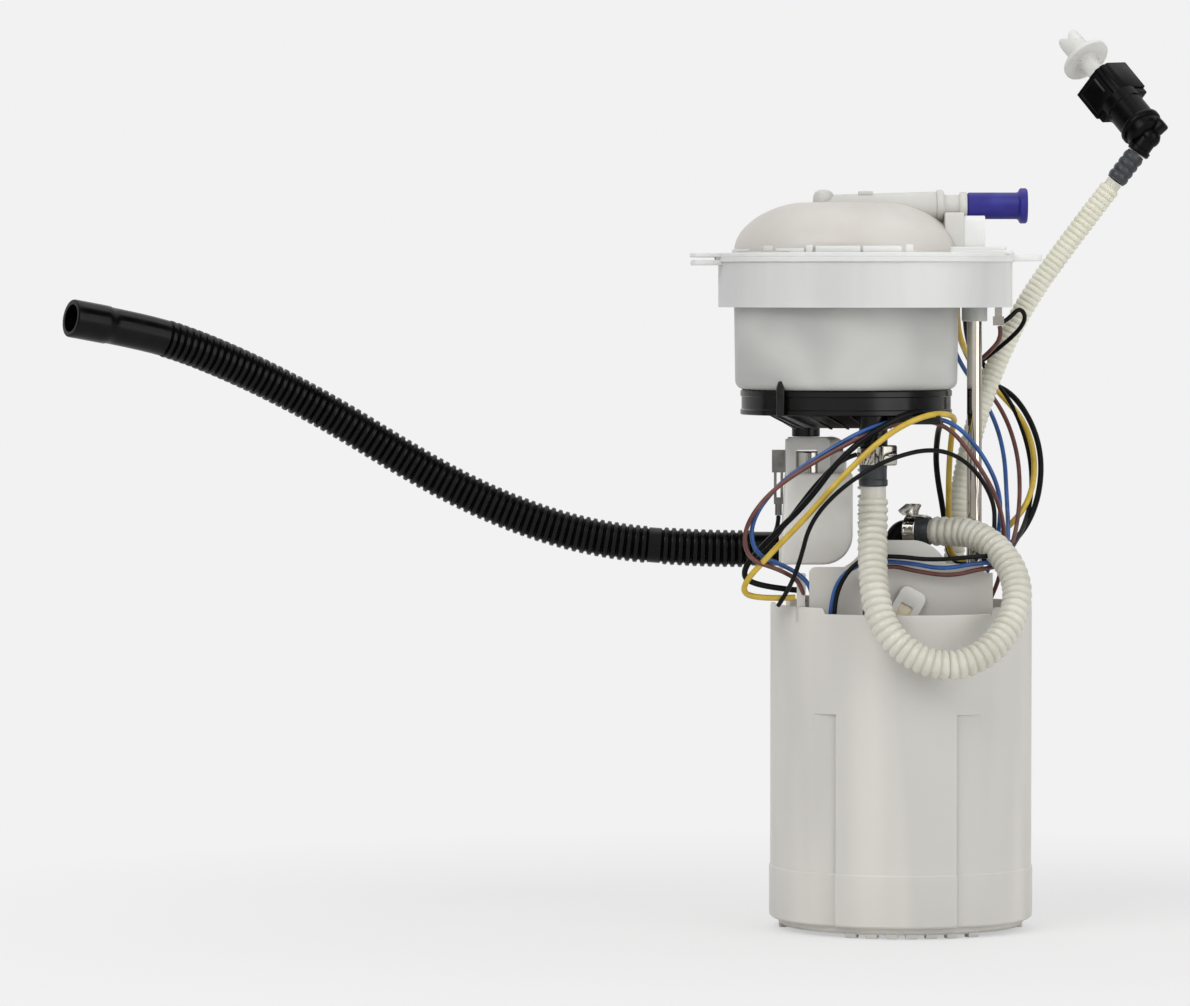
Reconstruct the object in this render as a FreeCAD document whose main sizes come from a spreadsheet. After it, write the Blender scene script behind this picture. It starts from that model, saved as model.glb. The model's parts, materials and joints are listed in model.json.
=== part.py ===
import FreeCAD, Part
import math
import os
import Sketcher

# In-tank electric fuel pump module.
# Millimetres, +Z up, +X to the right when the outlet nozzle points right.
# The origin is on the collar axis, at the plane where the flange seats on the tank.
# Heights are given above the tank floor, which lies seat_height below the origin.

document = FreeCAD.newDocument("fuel_pump_module")
sheet = document.addObject("Spreadsheet::Sheet", "Sizes")

dimensions = {
    # Fits used between pieces
    "fit_gap": 0.05,
    "free_gap": 0.3,
    # Flange lid: round rim, skirt below it, two tabs
    "seat_height": 293,
    "rim_radius": 65.6,
    "rim_thickness": 4,
    "skirt_radius": 64.6,
    "skirt_wall": 2.2,
    "skirt_depth": 19.8,
    "tab_reach": 77,
    "tab_width": 30,
    "left_tab_thickness": 5.4,
    "right_tab_thickness": 3,
    "tab_slot": 1.2,
    "tab_round": 4,
    # Domed filter chamber on the lid, off the collar axis
    "dome_x": -8.6,
    "dome_y": -7,
    "dome_radius": 49.5,
    "dome_rise": 22,
    "dome_flat_radius": 19.5,
    "dome_wall": 2.4,
    "gate_boss_radius": 5.3,
    "gate_boss_x": -10,
    "gate_boss_top": 32,
    # Outlet channel and its 8 mm nozzle
    "port_height": 24.6,
    "channel_radius": 6.4,
    "channel_end_x": 30.8,
    "port_ring_radius": 7.6,
    "port_ring_length": 3.7,
    "port_neck_radius": 4.5,
    "port_neck_length": 6.4,
    "port_bead_radius": 5.85,
    "port_bead_length": 3.5,
    "nozzle_radius": 4,
    "nozzle_length": 18,
    "nozzle_bore_radius": 2.6,
    "web_thickness": 3.2,
    # Electrical socket on the lid
    "socket_x": 36.5,
    "socket_length": 15,
    "socket_width": 24,
    "socket_height": 14,
    "socket_wall": 2.2,
    "socket_depth": 11,
    "socket_y": -8,
    "socket_plate_x": 60.7,
    "socket_plate_thickness": 2.6,
    "pin_size": 1.2,
    "pin_length": 7,
    "pin_pitch": 4,
    # Guide rods and what is on them
    "rod_radius": 3.3,
    "front_rod_x": 47.5,
    "front_rod_y": -10,
    "rear_rod_x": 4.5,
    "rear_rod_y": 47.5,
    "rod_boss_radius": 5.6,
    "rod_boss_depth": 26,
    "rod_seat_depth": 22,
    "rod_end_height": 113,
    "clip_radius": 5.6,
    "clip_thickness": 3,
    "washer_radius": 6.6,
    "washer_thickness": 1.6,
    "washer_height": 215,
    "spring_radius": 5.8,
    "spring_wire": 1.4,
    "spring_turns": 14,
    # Filter bowl under the lid
    "bowl_depth": 55.8,
    "bowl_wall": 2.2,
    "bowl_draft": 0.8,
    "bowl_corner": 4,
    "element_radius": 41,
    "element_root_radius": 24,
    "element_pleats": 44,
    "core_radius": 20,
    "core_wall": 1.4,
    "end_cap_thickness": 2.4,
    "upper_cap_drop": 5,
    "lower_cap_rise": 4,
    "cap_hub_radius": 8,
    # Black base of the filter with its two hose stubs
    "base_radius": 46.4,
    "base_depth": 11,
    "base_wall": 2.4,
    "base_cone_radius": 33,
    "base_cone_tip_radius": 24.4,
    "base_cone_depth": 5.6,
    "base_rib_count": 16,
    "base_rib_thickness": 1.2,
    "base_rib_height": 0.6,
    "latch_x": -29.3,
    "latch_width": 3.3,
    "latch_rise": 4.2,
    "latch_thickness": 1.4,
    "stub_radius": 6.2,
    "stub_bore_radius": 3,
    "drain_stub_x": -25.5,
    "drain_stub_y": 14,
    "feed_stub_x": 1.8,
    "feed_stub_y": -42,
    "feed_stub_shoulder": 212.6,
    "feed_stub_tip": 198,
    "feed_barb_radius": 4.4,
    # Pressure regulator below the filter
    "regulator_y": 17,
    "regulator_left": -36.9,
    "regulator_top_left": -34.5,
    "regulator_strap_right": -15,
    "regulator_right": -5,
    "regulator_bottom": 159.5,
    "regulator_shoulder": 200,
    "regulator_top": 215.8,
    "regulator_width": 22,
    "regulator_front": 7,
    "strap_depth": 10,
    "strap_round": 3.6,
    "regulator_corner": 13,
    "window_left": -29.8,
    "window_right": -20.5,
    "window_bottom": 198.9,
    "window_top": 210.1,
    "can_x": -25,
    "can_y": 17.4,
    "can_radius": 7.5,
    "can_bottom": 187,
    "can_top": 209.6,
    "can_flange": 0.5,
    "relief_x": -14.1,
    "relief_y": 25,
    "relief_radius": 5.4,
    "relief_tower_radius": 7,
    "relief_seat": 209.4,
    "relief_seal": 1.1,
    "relief_rise": 5.2,
    "spigot_radius": 6.1,
    "spigot_length": 12,
    "spigot_height": 166.1,
    "terminal_left": -40.4,
    "terminal_width": 5.7,
    "terminal_top": 210,
    "terminal_bottom": 200,
    "terminal_depth": 5,
    "strip_width": 1.2,
    "strip_bottom": 188,
    "crimp_bottom": 181,
    "crimp_radius": 1.5,
    # Hoses
    "hose_radius": 6.2,
    "return_hose_radius": 4.7,
    "return_cuff_radius": 5.2,
    "return_hose_bore": 3.4,
    "drain_hose_radius": 8.1,
    "drain_hose_bore": 6.65,
    "cuff_radius": 5.9,
    "cuff_length": 16.8,
    "band_width": 7,
    "band_thickness": 0.8,
    "band_top": 212.2,
    "clamp_turn": -45,
    "screw_housing": 8,
    "screw_head": 1.6,
    "screw_radius": 2.2,
    "screw_length": 9.6,
    # Port cap
    "cap_length": 22.5,
    "cap_radius": 5.85,
    "cap_flange_radius": 7.75,
    "cap_flange_thickness": 4,
    "cap_wall": 1.6,
    # Reservoir pot
    "pot_x": 16,
    "pot_radius": 57.5,
    "pot_wall": 2,
    "pot_top": 142,
    "pot_lip_top": 140.3,
    "pot_foot": 4.8,
    "pot_floor": 2.4,
    "pot_lip_radius": 58.1,
    "pot_lip_height": 3,
    "panel_left": -31.4,
    "panel_right": 21.6,
    "groove_width": 9.6,
    "groove_depth": 0.9,
    "groove_top": 97,
    "notch_half_width": 11,
    "notch_y": 17,
    "notch_bottom": 126,
    "ledge_count": 6,
    "ledge_size": 2.6,
    "base_plate_radius": 54,
    "base_plate_bottom": 1.6,
    "foot_count": 36,
    "foot_width": 4.6,
    "foot_depth": 3.2,
    "intake_radius": 5,
    # Carrier that fills the mouth of the pot
    "deck_top": 121,
    "deck_thickness": 3,
    "plate_front": -34.3,
    "plate_thickness": 2.5,
    "plate_left": -25.6,
    "plate_right": 54.2,
    "plate_top": 160.3,
    "plate_shoulder": 157.7,
    "hump_top": 172,
    "hump_left": 0.4,
    "hump_right": 19.9,
    "post_left": -29.6,
    "post_width": 2.6,
    "post_top": 157,
    "post_setback": 5,
    "slot_bottom": 147.7,
    "sleeve_radius": 5.5,
    "sleeve_top": 157.4,
    "return_x": 40.6,
    "return_y": 29,
    "return_boss": 5,
    # Pump and motor
    "pump_x": 13.4,
    "pump_y": -8,
    "shell_radius": 19,
    "shell_wall": 1.2,
    "shell_bottom": 31,
    "shell_top": 104,
    "isolator_radius": 22,
    "isolator_bottom": 40,
    "isolator_top": 96,
    "magnet_thickness": 2.4,
    "magnet_bottom": 46,
    "magnet_top": 86,
    "armature_radius": 14.6,
    "armature_bottom": 48,
    "armature_top": 84,
    "armature_slots": 8,
    "commutator_radius": 7,
    "commutator_bottom": 87,
    "commutator_top": 95,
    "shaft_radius": 2,
    "shaft_bottom": 34.4,
    "shaft_top": 102.5,
    "impeller_radius": 16,
    "impeller_bottom": 38.2,
    "impeller_top": 41.4,
    "impeller_vanes": 24,
    "inlet_top": 37.6,
    "inlet_spigot_radius": 5,
    "inlet_spigot_bottom": 21,
    "head_bottom": 98,
    "head_top": 107,
    "head_spigot_radius": 3.3,
    "head_spigot_top": 126,
    "head_bore_radius": 2.2,
    "bearing_radius": 4,
    "bearing_length": 5,
    "brush_width": 4,
    # Strainer, jet pump and valves
    "strainer_length": 58,
    "strainer_width": 30,
    "strainer_thickness": 9,
    "strainer_bottom": 10,
    "jet_x": 30,
    "jet_y": 26,
    "jet_radius": 6,
    "jet_height": 34,
    "foot_valve_radius": 8.4,
    "foot_valve_thickness": 1.4,
    "foot_valve_lift": 2,
    "check_radius": 1.8,
    "check_length": 3,
    # Outlet elbow and ear clamp
    "elbow_radius": 4.6,
    "elbow_height": 175.2,
    "elbow_bore_radius": 3,
    "elbow_bend": 4.8,
    "elbow_end": 11,
    "elbow_sleeve_bottom": 112,
    "outlet_turn": -24,
    "cuff_wall": 1.5,
    "ear_clamp_start": 5,
    "ear_clamp_width": 6,
    "ear_height": 4.6,
    "elbow_cuff_start": 4.7,
    "elbow_cuff_end": 16.3,
    # Quick connector at the end of the return hose
    "connector_x": 128.6,
    "connector_y": 45,
    "connector_height": 349.2,
    "connector_tilt": -39.5,
    "connector_turn": 36.4,
    "connector_radius": 8.6,
    "arm_radius": 5.4,
    "arm_length": 9,
    "head_start": 24,
    "head_length": 17,
    "head_reach": 13.3,
    "head_flat": 5.9,
    "head_front": 7.7,
    "head_back": 9.5,
    "connector_bore_radius": 4,
    "plug_disc_radius": 11.2,
    "plug_disc_thickness": 1.8,
    "plug_grip_radius": 5.4,
    "plug_grip_length": 15,
    "plug_shank_length": 17,
    "plug_standoff": 11.5,
    "retainer_length": 7,
    "retainer_radius": 6,
    # Wires
    "power_wire_radius": 1.2,
    "signal_wire_radius": 0.85,
}

for row, (name, number) in enumerate(dimensions.items(), start=1):
    sheet.set(f"A{row}", name)
    sheet.set(f"B{row}", str(number))
    sheet.setAlias(f"B{row}", name)
document.recompute()


class Size:
    # A number that carries the spreadsheet formula it comes from.
    def __init__(self, number, formula=None):
        self.number = float(number)
        self.formula = formula or f"({float(number)!r})"
        self.driven = formula is not None

    def joined(self, other, sign, number):
        other = as_size(other)
        result = Size(number, f"({self.formula} {sign} {other.formula})")
        result.driven = self.driven or other.driven
        return result

    def __add__(self, other):
        return self.joined(other, "+", self.number + as_size(other).number)

    def __sub__(self, other):
        return self.joined(other, "-", self.number - as_size(other).number)

    def __mul__(self, other):
        return self.joined(other, "*", self.number * as_size(other).number)

    def __truediv__(self, other):
        return self.joined(other, "/", self.number / as_size(other).number)

    def __radd__(self, other):
        return as_size(other) + self

    def __rsub__(self, other):
        return as_size(other) - self

    def __rmul__(self, other):
        return as_size(other) * self

    def __neg__(self):
        return 0 - self


def as_size(value):
    return value if isinstance(value, Size) else Size(value)


class Values:
    pass


s = Values()
for name, number in dimensions.items():
    setattr(s, name, Size(number, f"Sizes.{name}"))

pieces = []


def bind(item, path, value):
    item.setExpression(path, as_size(value).formula)


def place(item, x, y, height, axis=(0, 0, 1), angle=0.0):
    # Height is above the tank floor.
    x, y, z = as_size(x), as_size(y), height - s.seat_height
    turn = FreeCAD.Rotation(FreeCAD.Vector(*axis), angle)
    item.Placement = FreeCAD.Placement(FreeCAD.Vector(x.number, y.number, z.number), turn)
    bind(item, "Placement.Base.x", x)
    bind(item, "Placement.Base.y", y)
    bind(item, "Placement.Base.z", z)


def start_piece(name, x=0, y=0, height=s.seat_height, axis=(0, 0, 1), angle=0.0):
    body = document.addObject("PartDesign::Body", name)
    body.Label = name
    place(body, x, y, height, axis, angle)
    pieces.append(body)
    return body


def new_sketch(body, plane, shift):
    sketch = body.newObject("Sketcher::SketchObject", "Profile")
    support = [item for item in body.Origin.OriginFeatures if item.Role == plane][0]
    sketch.AttachmentSupport = [(support, "")]
    sketch.MapMode = "FlatFace"
    for letter, amount in zip("xyz", shift):
        bind(sketch, f"AttachmentOffset.Base.{letter}", amount)
    return sketch


def hold_point(sketch, edge, end, x, y):
    for kind, value in (("DistanceX", x), ("DistanceY", y)):
        value = as_size(value)
        number = sketch.addConstraint(Sketcher.Constraint(kind, -1, 1, edge, end, value.number))
        if value.driven:
            bind(sketch, f"Constraints[{number}]", value)


def draw(body, plane, corners, shift=(0, 0, 0)):
    # Each corner is (x, y), or (x, y, via_x, via_y) when an arc through via leads to it.
    sketch = new_sketch(body, plane, shift)
    spots = [[as_size(value) for value in corner] for corner in corners]
    flat = [FreeCAD.Vector(spot[0].number, spot[1].number, 0) for spot in spots]
    count = len(spots)
    starts = []
    for index in range(count):
        following = (index + 1) % count
        target = spots[following]
        if len(target) == 4:
            # A sketch arc always runs counter-clockwise, so a clockwise one is drawn from its far end.
            via = FreeCAD.Vector(target[2].number, target[3].number, 0)
            clockwise = (via - flat[index]).cross(flat[following] - via).z < 0
            ends = (flat[following], flat[index]) if clockwise else (flat[index], flat[following])
            sketch.addGeometry(Part.Arc(ends[0], via, ends[1]))
            centre, chord = sketch.Geometry[index].Center, ends[1] - ends[0]
            steep = abs(chord.y) > abs(chord.x)
            kind, number = ("DistanceX", centre.x) if steep else ("DistanceY", centre.y)
            sketch.addConstraint(Sketcher.Constraint(kind, -1, 1, index, 3, number))
            starts.append(2 if clockwise else 1)
        else:
            sketch.addGeometry(Part.LineSegment(flat[index], flat[following]))
            starts.append(1)
    for index in range(count):
        following = (index + 1) % count
        joint = Sketcher.Constraint("Coincident", index, 3 - starts[index], following, starts[following])
        sketch.addConstraint(joint)
        hold_point(sketch, index, starts[index], spots[index][0], spots[index][1])
    return sketch


def draw_box(body, plane, left, bottom, right, top, shift=(0, 0, 0)):
    corners = [(left, bottom), (right, bottom), (right, top), (left, top)]
    return draw(body, plane, corners, shift)


def draw_circles(body, plane, circles, shift=(0, 0, 0)):
    sketch = new_sketch(body, plane, shift)
    for index, circle in enumerate(circles):
        x, y, radius = [as_size(value) for value in circle]
        centre = FreeCAD.Vector(x.number, y.number, 0)
        sketch.addGeometry(Part.Circle(centre, FreeCAD.Vector(0, 0, 1), radius.number))
        hold_point(sketch, index, 3, x, y)
        number = sketch.addConstraint(Sketcher.Constraint("Radius", index, radius.number))
        if radius.driven:
            bind(sketch, f"Constraints[{number}]", radius)
    return sketch


def extrude(body, kind, sketch, length, back=False, both=False):
    feature = body.newObject(f"PartDesign::{kind}", kind)
    feature.Profile = sketch
    feature.SideType = "Symmetric" if both else "One side"
    feature.Reversed = back
    bind(feature, "Length", length)
    return feature


def pad(body, sketch, length, back=False, both=False):
    return extrude(body, "Pad", sketch, length, back, both)


def pocket(body, sketch, length, back=False, both=False):
    return extrude(body, "Pocket", sketch, length, back, both)


def spin(body, kind, sketch, line="V_Axis"):
    feature = body.newObject(f"PartDesign::{kind}", kind)
    feature.Profile = sketch
    feature.ReferenceAxis = (sketch, [line])
    feature.Angle = 360
    return feature


def pattern(body, feature, count):
    # Repeats the feature about the Z axis of its own body.
    ring = body.newObject("PartDesign::PolarPattern", "PolarPattern")
    ring.Originals = [feature]
    upright = [item for item in body.Origin.OriginFeatures if item.Role == "Z_Axis"][0]
    ring.Axis = (upright, [""])
    ring.Angle = 360
    if isinstance(count, Size):
        bind(ring, "Occurrences", count)
    else:
        ring.Occurrences = count
    body.Tip = ring
    return ring


def soften(body, radius, wanted):
    # Rounds the edges for which wanted(edge) is true.
    document.recompute()
    base = body.Tip
    names = [f"Edge{number}" for number, edge in enumerate(base.Shape.Edges, 1) if wanted(edge)]
    fillet = body.newObject("PartDesign::Fillet", "Fillet")
    fillet.Base = (base, names)
    bind(fillet, "Radius", radius)
    return fillet


def turned_piece(name, x, y, height, corners, axis=(0, 0, 1), angle=0.0):
    body = start_piece(name, x, y, height, axis, angle)
    spin(body, "Revolution", draw(body, "XZ_Plane", corners))
    return body


def sleeve_corners(inner, outer, bottom, top):
    return [(inner, bottom), (outer, bottom), (outer, top), (inner, top)]


def disc_corners(radius, bottom, top):
    return sleeve_corners(0, radius, bottom, top)


def own_shape(name, shape):
    item = document.addObject("Part::Feature", name)
    item.Label = name
    item.Shape = shape
    place(item, 0, 0, as_size(0))
    pieces.append(item)
    return item


def upright(edge):
    start, end = edge.Vertexes[0].Point, edge.Vertexes[-1].Point
    return abs(start.z - end.z) > 0.9 * edge.Length


# Cords and hoses

def route(name, points, diameter):
    # Straight runs joined by tangent arcs, each arc as large as its two runs allow.
    spots = [FreeCAD.Vector(*point) for point in points]
    edges = []
    radii = []
    last = spots[0]
    for before, corner, after in zip(spots, spots[1:], spots[2:]):
        one, two = before - corner, after - corner
        turn = math.pi - one.getAngle(two)
        trim = 0.45 * min(one.Length, two.Length)
        radii.append(trim / math.tan(turn / 2))
        one.normalize()
        two.normalize()
        middle = one + two
        middle.normalize()
        reach = math.hypot(radii[-1], trim) - radii[-1]
        enter, leave = corner + one * trim, corner + two * trim
        edges.append(Part.LineSegment(last, enter).toShape())
        edges.append(Part.Arc(enter, corner + middle * reach, leave).toShape())
        last = leave
    edges.append(Part.LineSegment(last, spots[-1]).toShape())
    path = Part.Wire(edges)
    print(f"{name}: {path.Length:.1f} mm long, tightest radius {min(radii) / diameter:.1f} diameters")
    return path


def outline_at(path, radius, sides=None):
    start = path.Vertexes[0].Point
    heading = path.Edges[0].tangentAt(path.Edges[0].FirstParameter)
    if sides is None:
        return Part.Wire(Part.makeCircle(radius, start, heading))
    across = heading.cross(FreeCAD.Vector(0.3, 0.9, 0.1))
    across.normalize()
    other = heading.cross(across)
    corners = []
    for number in range(sides + 1):
        angle = 2 * math.pi * number / sides
        corners.append(start + across * (radius * math.cos(angle)) + other * (radius * math.sin(angle)))
    return Part.makePolygon(corners)


def swept(path, radius, sides=None):
    solid = path.makePipeShell([outline_at(path, radius, sides)], True, False)
    area = math.pi * radius**2
    if sides is not None:
        area = sides / 2 * radius**2 * math.sin(2 * math.pi / sides)
    expected = area * path.Length
    if abs(solid.Volume - expected) > 0.03 * expected:
        raise ValueError(f"a swept tube has volume {solid.Volume:.0f} and not {expected:.0f}")
    return solid


def hose(name, points, outer, bore=None):
    path = route(name, points, 2 * outer.number)
    tube = swept(path, outer.number, 12)
    return own_shape(name, tube.cut(swept(path, bore.number, 8)) if bore else tube)


def wires(name, routes, radius):
    sides = 5
    solids = []
    for points in routes:
        solids.append(swept(route(name, points, 2 * radius.number), radius.number, sides))
    return own_shape(name, Part.makeCompound(solids) if len(solids) > 1 else solids[0])


# Flange lid

def make_flange_lid():
    body = start_piece("flange_lid")
    skirt_inner = s.skirt_radius - s.skirt_wall
    rim = [
        (0, 0), (skirt_inner, 0), (skirt_inner, -s.skirt_depth), (s.skirt_radius, -s.skirt_depth),
        (s.skirt_radius, 0), (s.rim_radius, 0), (s.rim_radius, s.rim_thickness), (0, s.rim_thickness),
    ]
    spin(body, "Revolution", draw(body, "XZ_Plane", rim))

    half_tab = s.tab_width / 2
    tab_root = s.skirt_radius * 0.9
    left = draw_box(body, "XY_Plane", -s.tab_reach, -half_tab, -tab_root, half_tab)
    pad(body, left, s.left_tab_thickness)
    right = draw_box(body, "XY_Plane", tab_root, -half_tab, s.tab_reach, half_tab)
    pad(body, right, s.right_tab_thickness)
    soften(body, s.tab_round, lambda edge: upright(edge) and abs(edge.Vertexes[0].X) > s.tab_reach.number - 1)
    slot_middle = s.left_tab_thickness / 2
    slot = draw_box(body, "XZ_Plane", -s.tab_reach - 1, slot_middle - s.tab_slot / 2,
                    -s.tab_reach + 3, slot_middle + s.tab_slot / 2)
    pocket(body, slot, s.tab_width + 2, both=True)

    # Dome, boss and outlet channel are added before the chamber is hollowed.
    off_axis = (s.dome_x, 0, -s.dome_y)
    spin(body, "Revolution", draw(body, "XZ_Plane", dome_corners(0, 6), off_axis))
    boss_axis = (s.dome_x + s.gate_boss_x, 0, -s.dome_y)
    boss_shoulder = s.gate_boss_top - s.gate_boss_radius * 0.4
    boss = [
        (0, s.rim_thickness), (s.gate_boss_radius, s.rim_thickness), (s.gate_boss_radius, boss_shoulder),
        (s.gate_boss_radius * 0.6, s.gate_boss_top), (0, s.gate_boss_top),
    ]
    spin(body, "Revolution", draw(body, "XZ_Plane", boss, boss_axis))

    ring_end = s.channel_end_x + s.port_ring_length
    neck_end = ring_end + s.port_neck_length
    bead_end = neck_end + s.port_bead_length
    tip = bead_end + s.nozzle_length
    channel_start = s.dome_x + s.gate_boss_x
    outlet = [
        (channel_start, 0), (channel_start, s.channel_radius), (s.channel_end_x, s.channel_radius),
        (s.channel_end_x, s.port_ring_radius), (ring_end, s.port_ring_radius),
        (ring_end, s.port_neck_radius), (neck_end, s.port_neck_radius),
        (neck_end, s.port_bead_radius), (bead_end, s.port_bead_radius),
        (bead_end, s.nozzle_radius), (tip, s.nozzle_radius), (tip, 0),
    ]
    port_axis = (0, s.port_height, -s.dome_y)
    spin(body, "Revolution", draw(body, "XZ_Plane", outlet, port_axis), "H_Axis")
    web = [
        (s.channel_end_x - 8, s.rim_thickness), (s.channel_end_x + 9, s.rim_thickness),
        (ring_end, s.port_height), (s.channel_end_x - 8, s.port_height),
    ]
    pad(body, draw(body, "XZ_Plane", web, (0, 0, -s.dome_y)), s.web_thickness, both=True)

    # Electrical socket, open towards +X
    socket_front = s.socket_x + s.socket_length
    low, high = s.socket_y - s.socket_width / 2, s.socket_y + s.socket_width / 2
    block_top = s.rim_thickness + s.socket_height
    block = draw_box(body, "XZ_Plane", s.socket_x, s.rim_thickness, socket_front, block_top,
                     (0, 0, -s.socket_y))
    pad(body, block, s.socket_width, both=True)
    plate = draw_box(body, "XZ_Plane", s.socket_x + 5, s.rim_thickness, s.socket_plate_x,
                     s.rim_thickness + s.socket_plate_thickness, (0, 0, -s.socket_y))
    pad(body, plate, s.socket_width + 4, both=True)
    cavity = draw_box(body, "YZ_Plane", low + s.socket_wall, s.rim_thickness + s.socket_wall + 1,
                      high - s.socket_wall, block_top - s.socket_wall, (0, 0, socket_front))
    pocket(body, cavity, s.socket_depth)

    # Rod bosses hang below the rim
    rods = [(s.front_rod_x, s.front_rod_y), (s.rear_rod_x, s.rear_rod_y)]
    bosses = draw_circles(body, "XY_Plane", [(x, y, s.rod_boss_radius) for x, y in rods])
    pad(body, bosses, s.rod_boss_depth, back=True)
    holes = draw_circles(body, "XY_Plane", [(x, y, s.rod_radius + s.fit_gap) for x, y in rods],
                         (0, 0, -s.rod_boss_depth))
    pocket(body, holes, s.rod_seat_depth, back=True)

    # Chamber inside the dome, outlet bore and the way down into the chamber
    spin(body, "Groove", draw(body, "XZ_Plane", dome_corners(s.dome_wall, 2), off_axis))
    bore = draw_circles(body, "YZ_Plane", [(s.dome_y, s.port_height, s.nozzle_bore_radius)], (0, 0, tip + 1))
    pocket(body, bore, tip + 1 - s.dome_x)
    drop = draw_circles(body, "XY_Plane", [(s.dome_x + 4, s.dome_y, s.nozzle_bore_radius)],
                        (0, 0, s.port_height))
    pocket(body, drop, s.port_height)
    return body


def dome_corners(inset, steps):
    # Half outline of the dome about its own axis: a quarter ellipse in a few steps, then the flat crown.
    inset = as_size(inset)
    foot = s.dome_radius - inset
    rise = s.dome_rise - inset
    bottom = -inset * 0.1
    corners = [(0, bottom), (foot, bottom)]
    for number in range(steps + 1):
        angle = math.pi / 2 * number / steps
        corners.append((s.dome_flat_radius + (foot - s.dome_flat_radius) * math.cos(angle),
                        s.rim_thickness + rise * math.sin(angle)))
    corners.append((0, s.rim_thickness + rise))
    return corners


def make_connector_pins():
    body = start_piece("connector_pins")
    back = s.socket_x + s.socket_length - s.socket_depth
    middle = s.rim_thickness + s.socket_wall / 2 + s.socket_height / 2
    for number in range(4):
        y = s.socket_y + s.pin_pitch * (number - 1.5)
        pin = draw_box(body, "YZ_Plane", y - s.pin_size / 2, middle - s.pin_size / 2,
                       y + s.pin_size / 2, middle + s.pin_size / 2, (0, 0, back))
        pad(body, pin, s.pin_length)
    return body


def make_port_cap():
    # Its axis lies along X on the nozzle.
    start = s.channel_end_x + s.port_ring_length + s.port_neck_length + s.port_bead_length + s.free_gap
    inner = s.nozzle_radius + s.fit_gap
    flange_start = s.cap_length - s.cap_flange_thickness
    corners = [
        (inner, 0), (s.cap_radius, 0), (s.cap_radius, flange_start), (s.cap_flange_radius, flange_start),
        (s.cap_flange_radius, s.cap_length), (0, s.cap_length),
        (0, s.nozzle_length + s.free_gap), (inner, s.nozzle_length + s.free_gap),
    ]
    return turned_piece("port_cap", start, s.dome_y, s.seat_height + s.port_height, corners, (0, 1, 0), 90)


# Filter inside the bowl

def make_filter_bowl():
    foot = s.dome_radius - s.bowl_draft
    bottom = -s.bowl_depth
    inner_foot = foot - s.bowl_wall
    bend = s.bowl_corner * 0.293
    floor = bottom + s.bowl_wall
    corners = [
        (0, bottom), (foot - s.bowl_corner, bottom), (foot - bend, bottom + bend),
        (foot, bottom + s.bowl_corner),
        (s.dome_radius, 0), (inner_foot, 0), (inner_foot, floor + s.bowl_wall), (inner_foot - s.bowl_wall, floor),
        (0, floor),
    ]
    body = turned_piece("filter_bowl", s.dome_x, s.dome_y, s.seat_height, corners)
    ports = [
        (s.feed_stub_x - s.dome_x, s.feed_stub_y - s.dome_y, s.stub_bore_radius),
        (s.drain_stub_x - s.dome_x, s.drain_stub_y - s.dome_y, s.stub_bore_radius),
    ]
    pocket(body, draw_circles(body, "XY_Plane", ports, (0, 0, bottom + s.bowl_wall + 1)), s.bowl_wall + 2)
    return body


def make_filter_insert():
    bottom = s.seat_height - s.bowl_depth + s.bowl_wall + s.lower_cap_rise
    top = s.seat_height - s.upper_cap_drop
    rest = s.seat_height - s.bowl_depth + s.bowl_wall
    length = top - bottom
    inner_wall = s.dome_radius - s.bowl_draft - s.bowl_wall
    turned_piece("filter_core", s.dome_x, s.dome_y, bottom, sleeve_corners(
        s.core_radius - s.core_wall, s.core_radius, s.end_cap_thickness, length - s.end_cap_thickness))
    lower = [
        (0, -s.lower_cap_rise), (s.cap_hub_radius, -s.lower_cap_rise), (s.cap_hub_radius, 0),
        (s.element_radius + 1, 0), (s.element_radius + 1, s.end_cap_thickness), (0, s.end_cap_thickness),
    ]
    turned_piece("filter_lower_cap", s.dome_x, s.dome_y, rest + s.lower_cap_rise, lower)
    upper = sleeve_corners(s.core_radius - s.core_wall, inner_wall - s.free_gap, 0, s.end_cap_thickness)
    turned_piece("filter_upper_cap", s.dome_x, s.dome_y, top - s.end_cap_thickness, upper)

    # Pleated paper: every fold runs from the core out to the element's rim and back.
    folds = int(s.element_pleats.number)
    corners = []
    for number in range(2 * folds + 1):
        radius = (s.element_radius if number % 2 else s.element_root_radius).number
        angle = math.pi * number / folds
        corners.append(FreeCAD.Vector(radius * math.cos(angle), radius * math.sin(angle), 0))
    height = (length - 2 * s.end_cap_thickness).number
    paper = Part.Face(Part.makePolygon(corners)).extrude(FreeCAD.Vector(0, 0, height))
    hole = Part.makeCylinder((s.core_radius + s.fit_gap).number, height)
    item = own_shape("filter_element", paper.cut(hole))
    place(item, s.dome_x, s.dome_y, bottom + s.end_cap_thickness)


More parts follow.
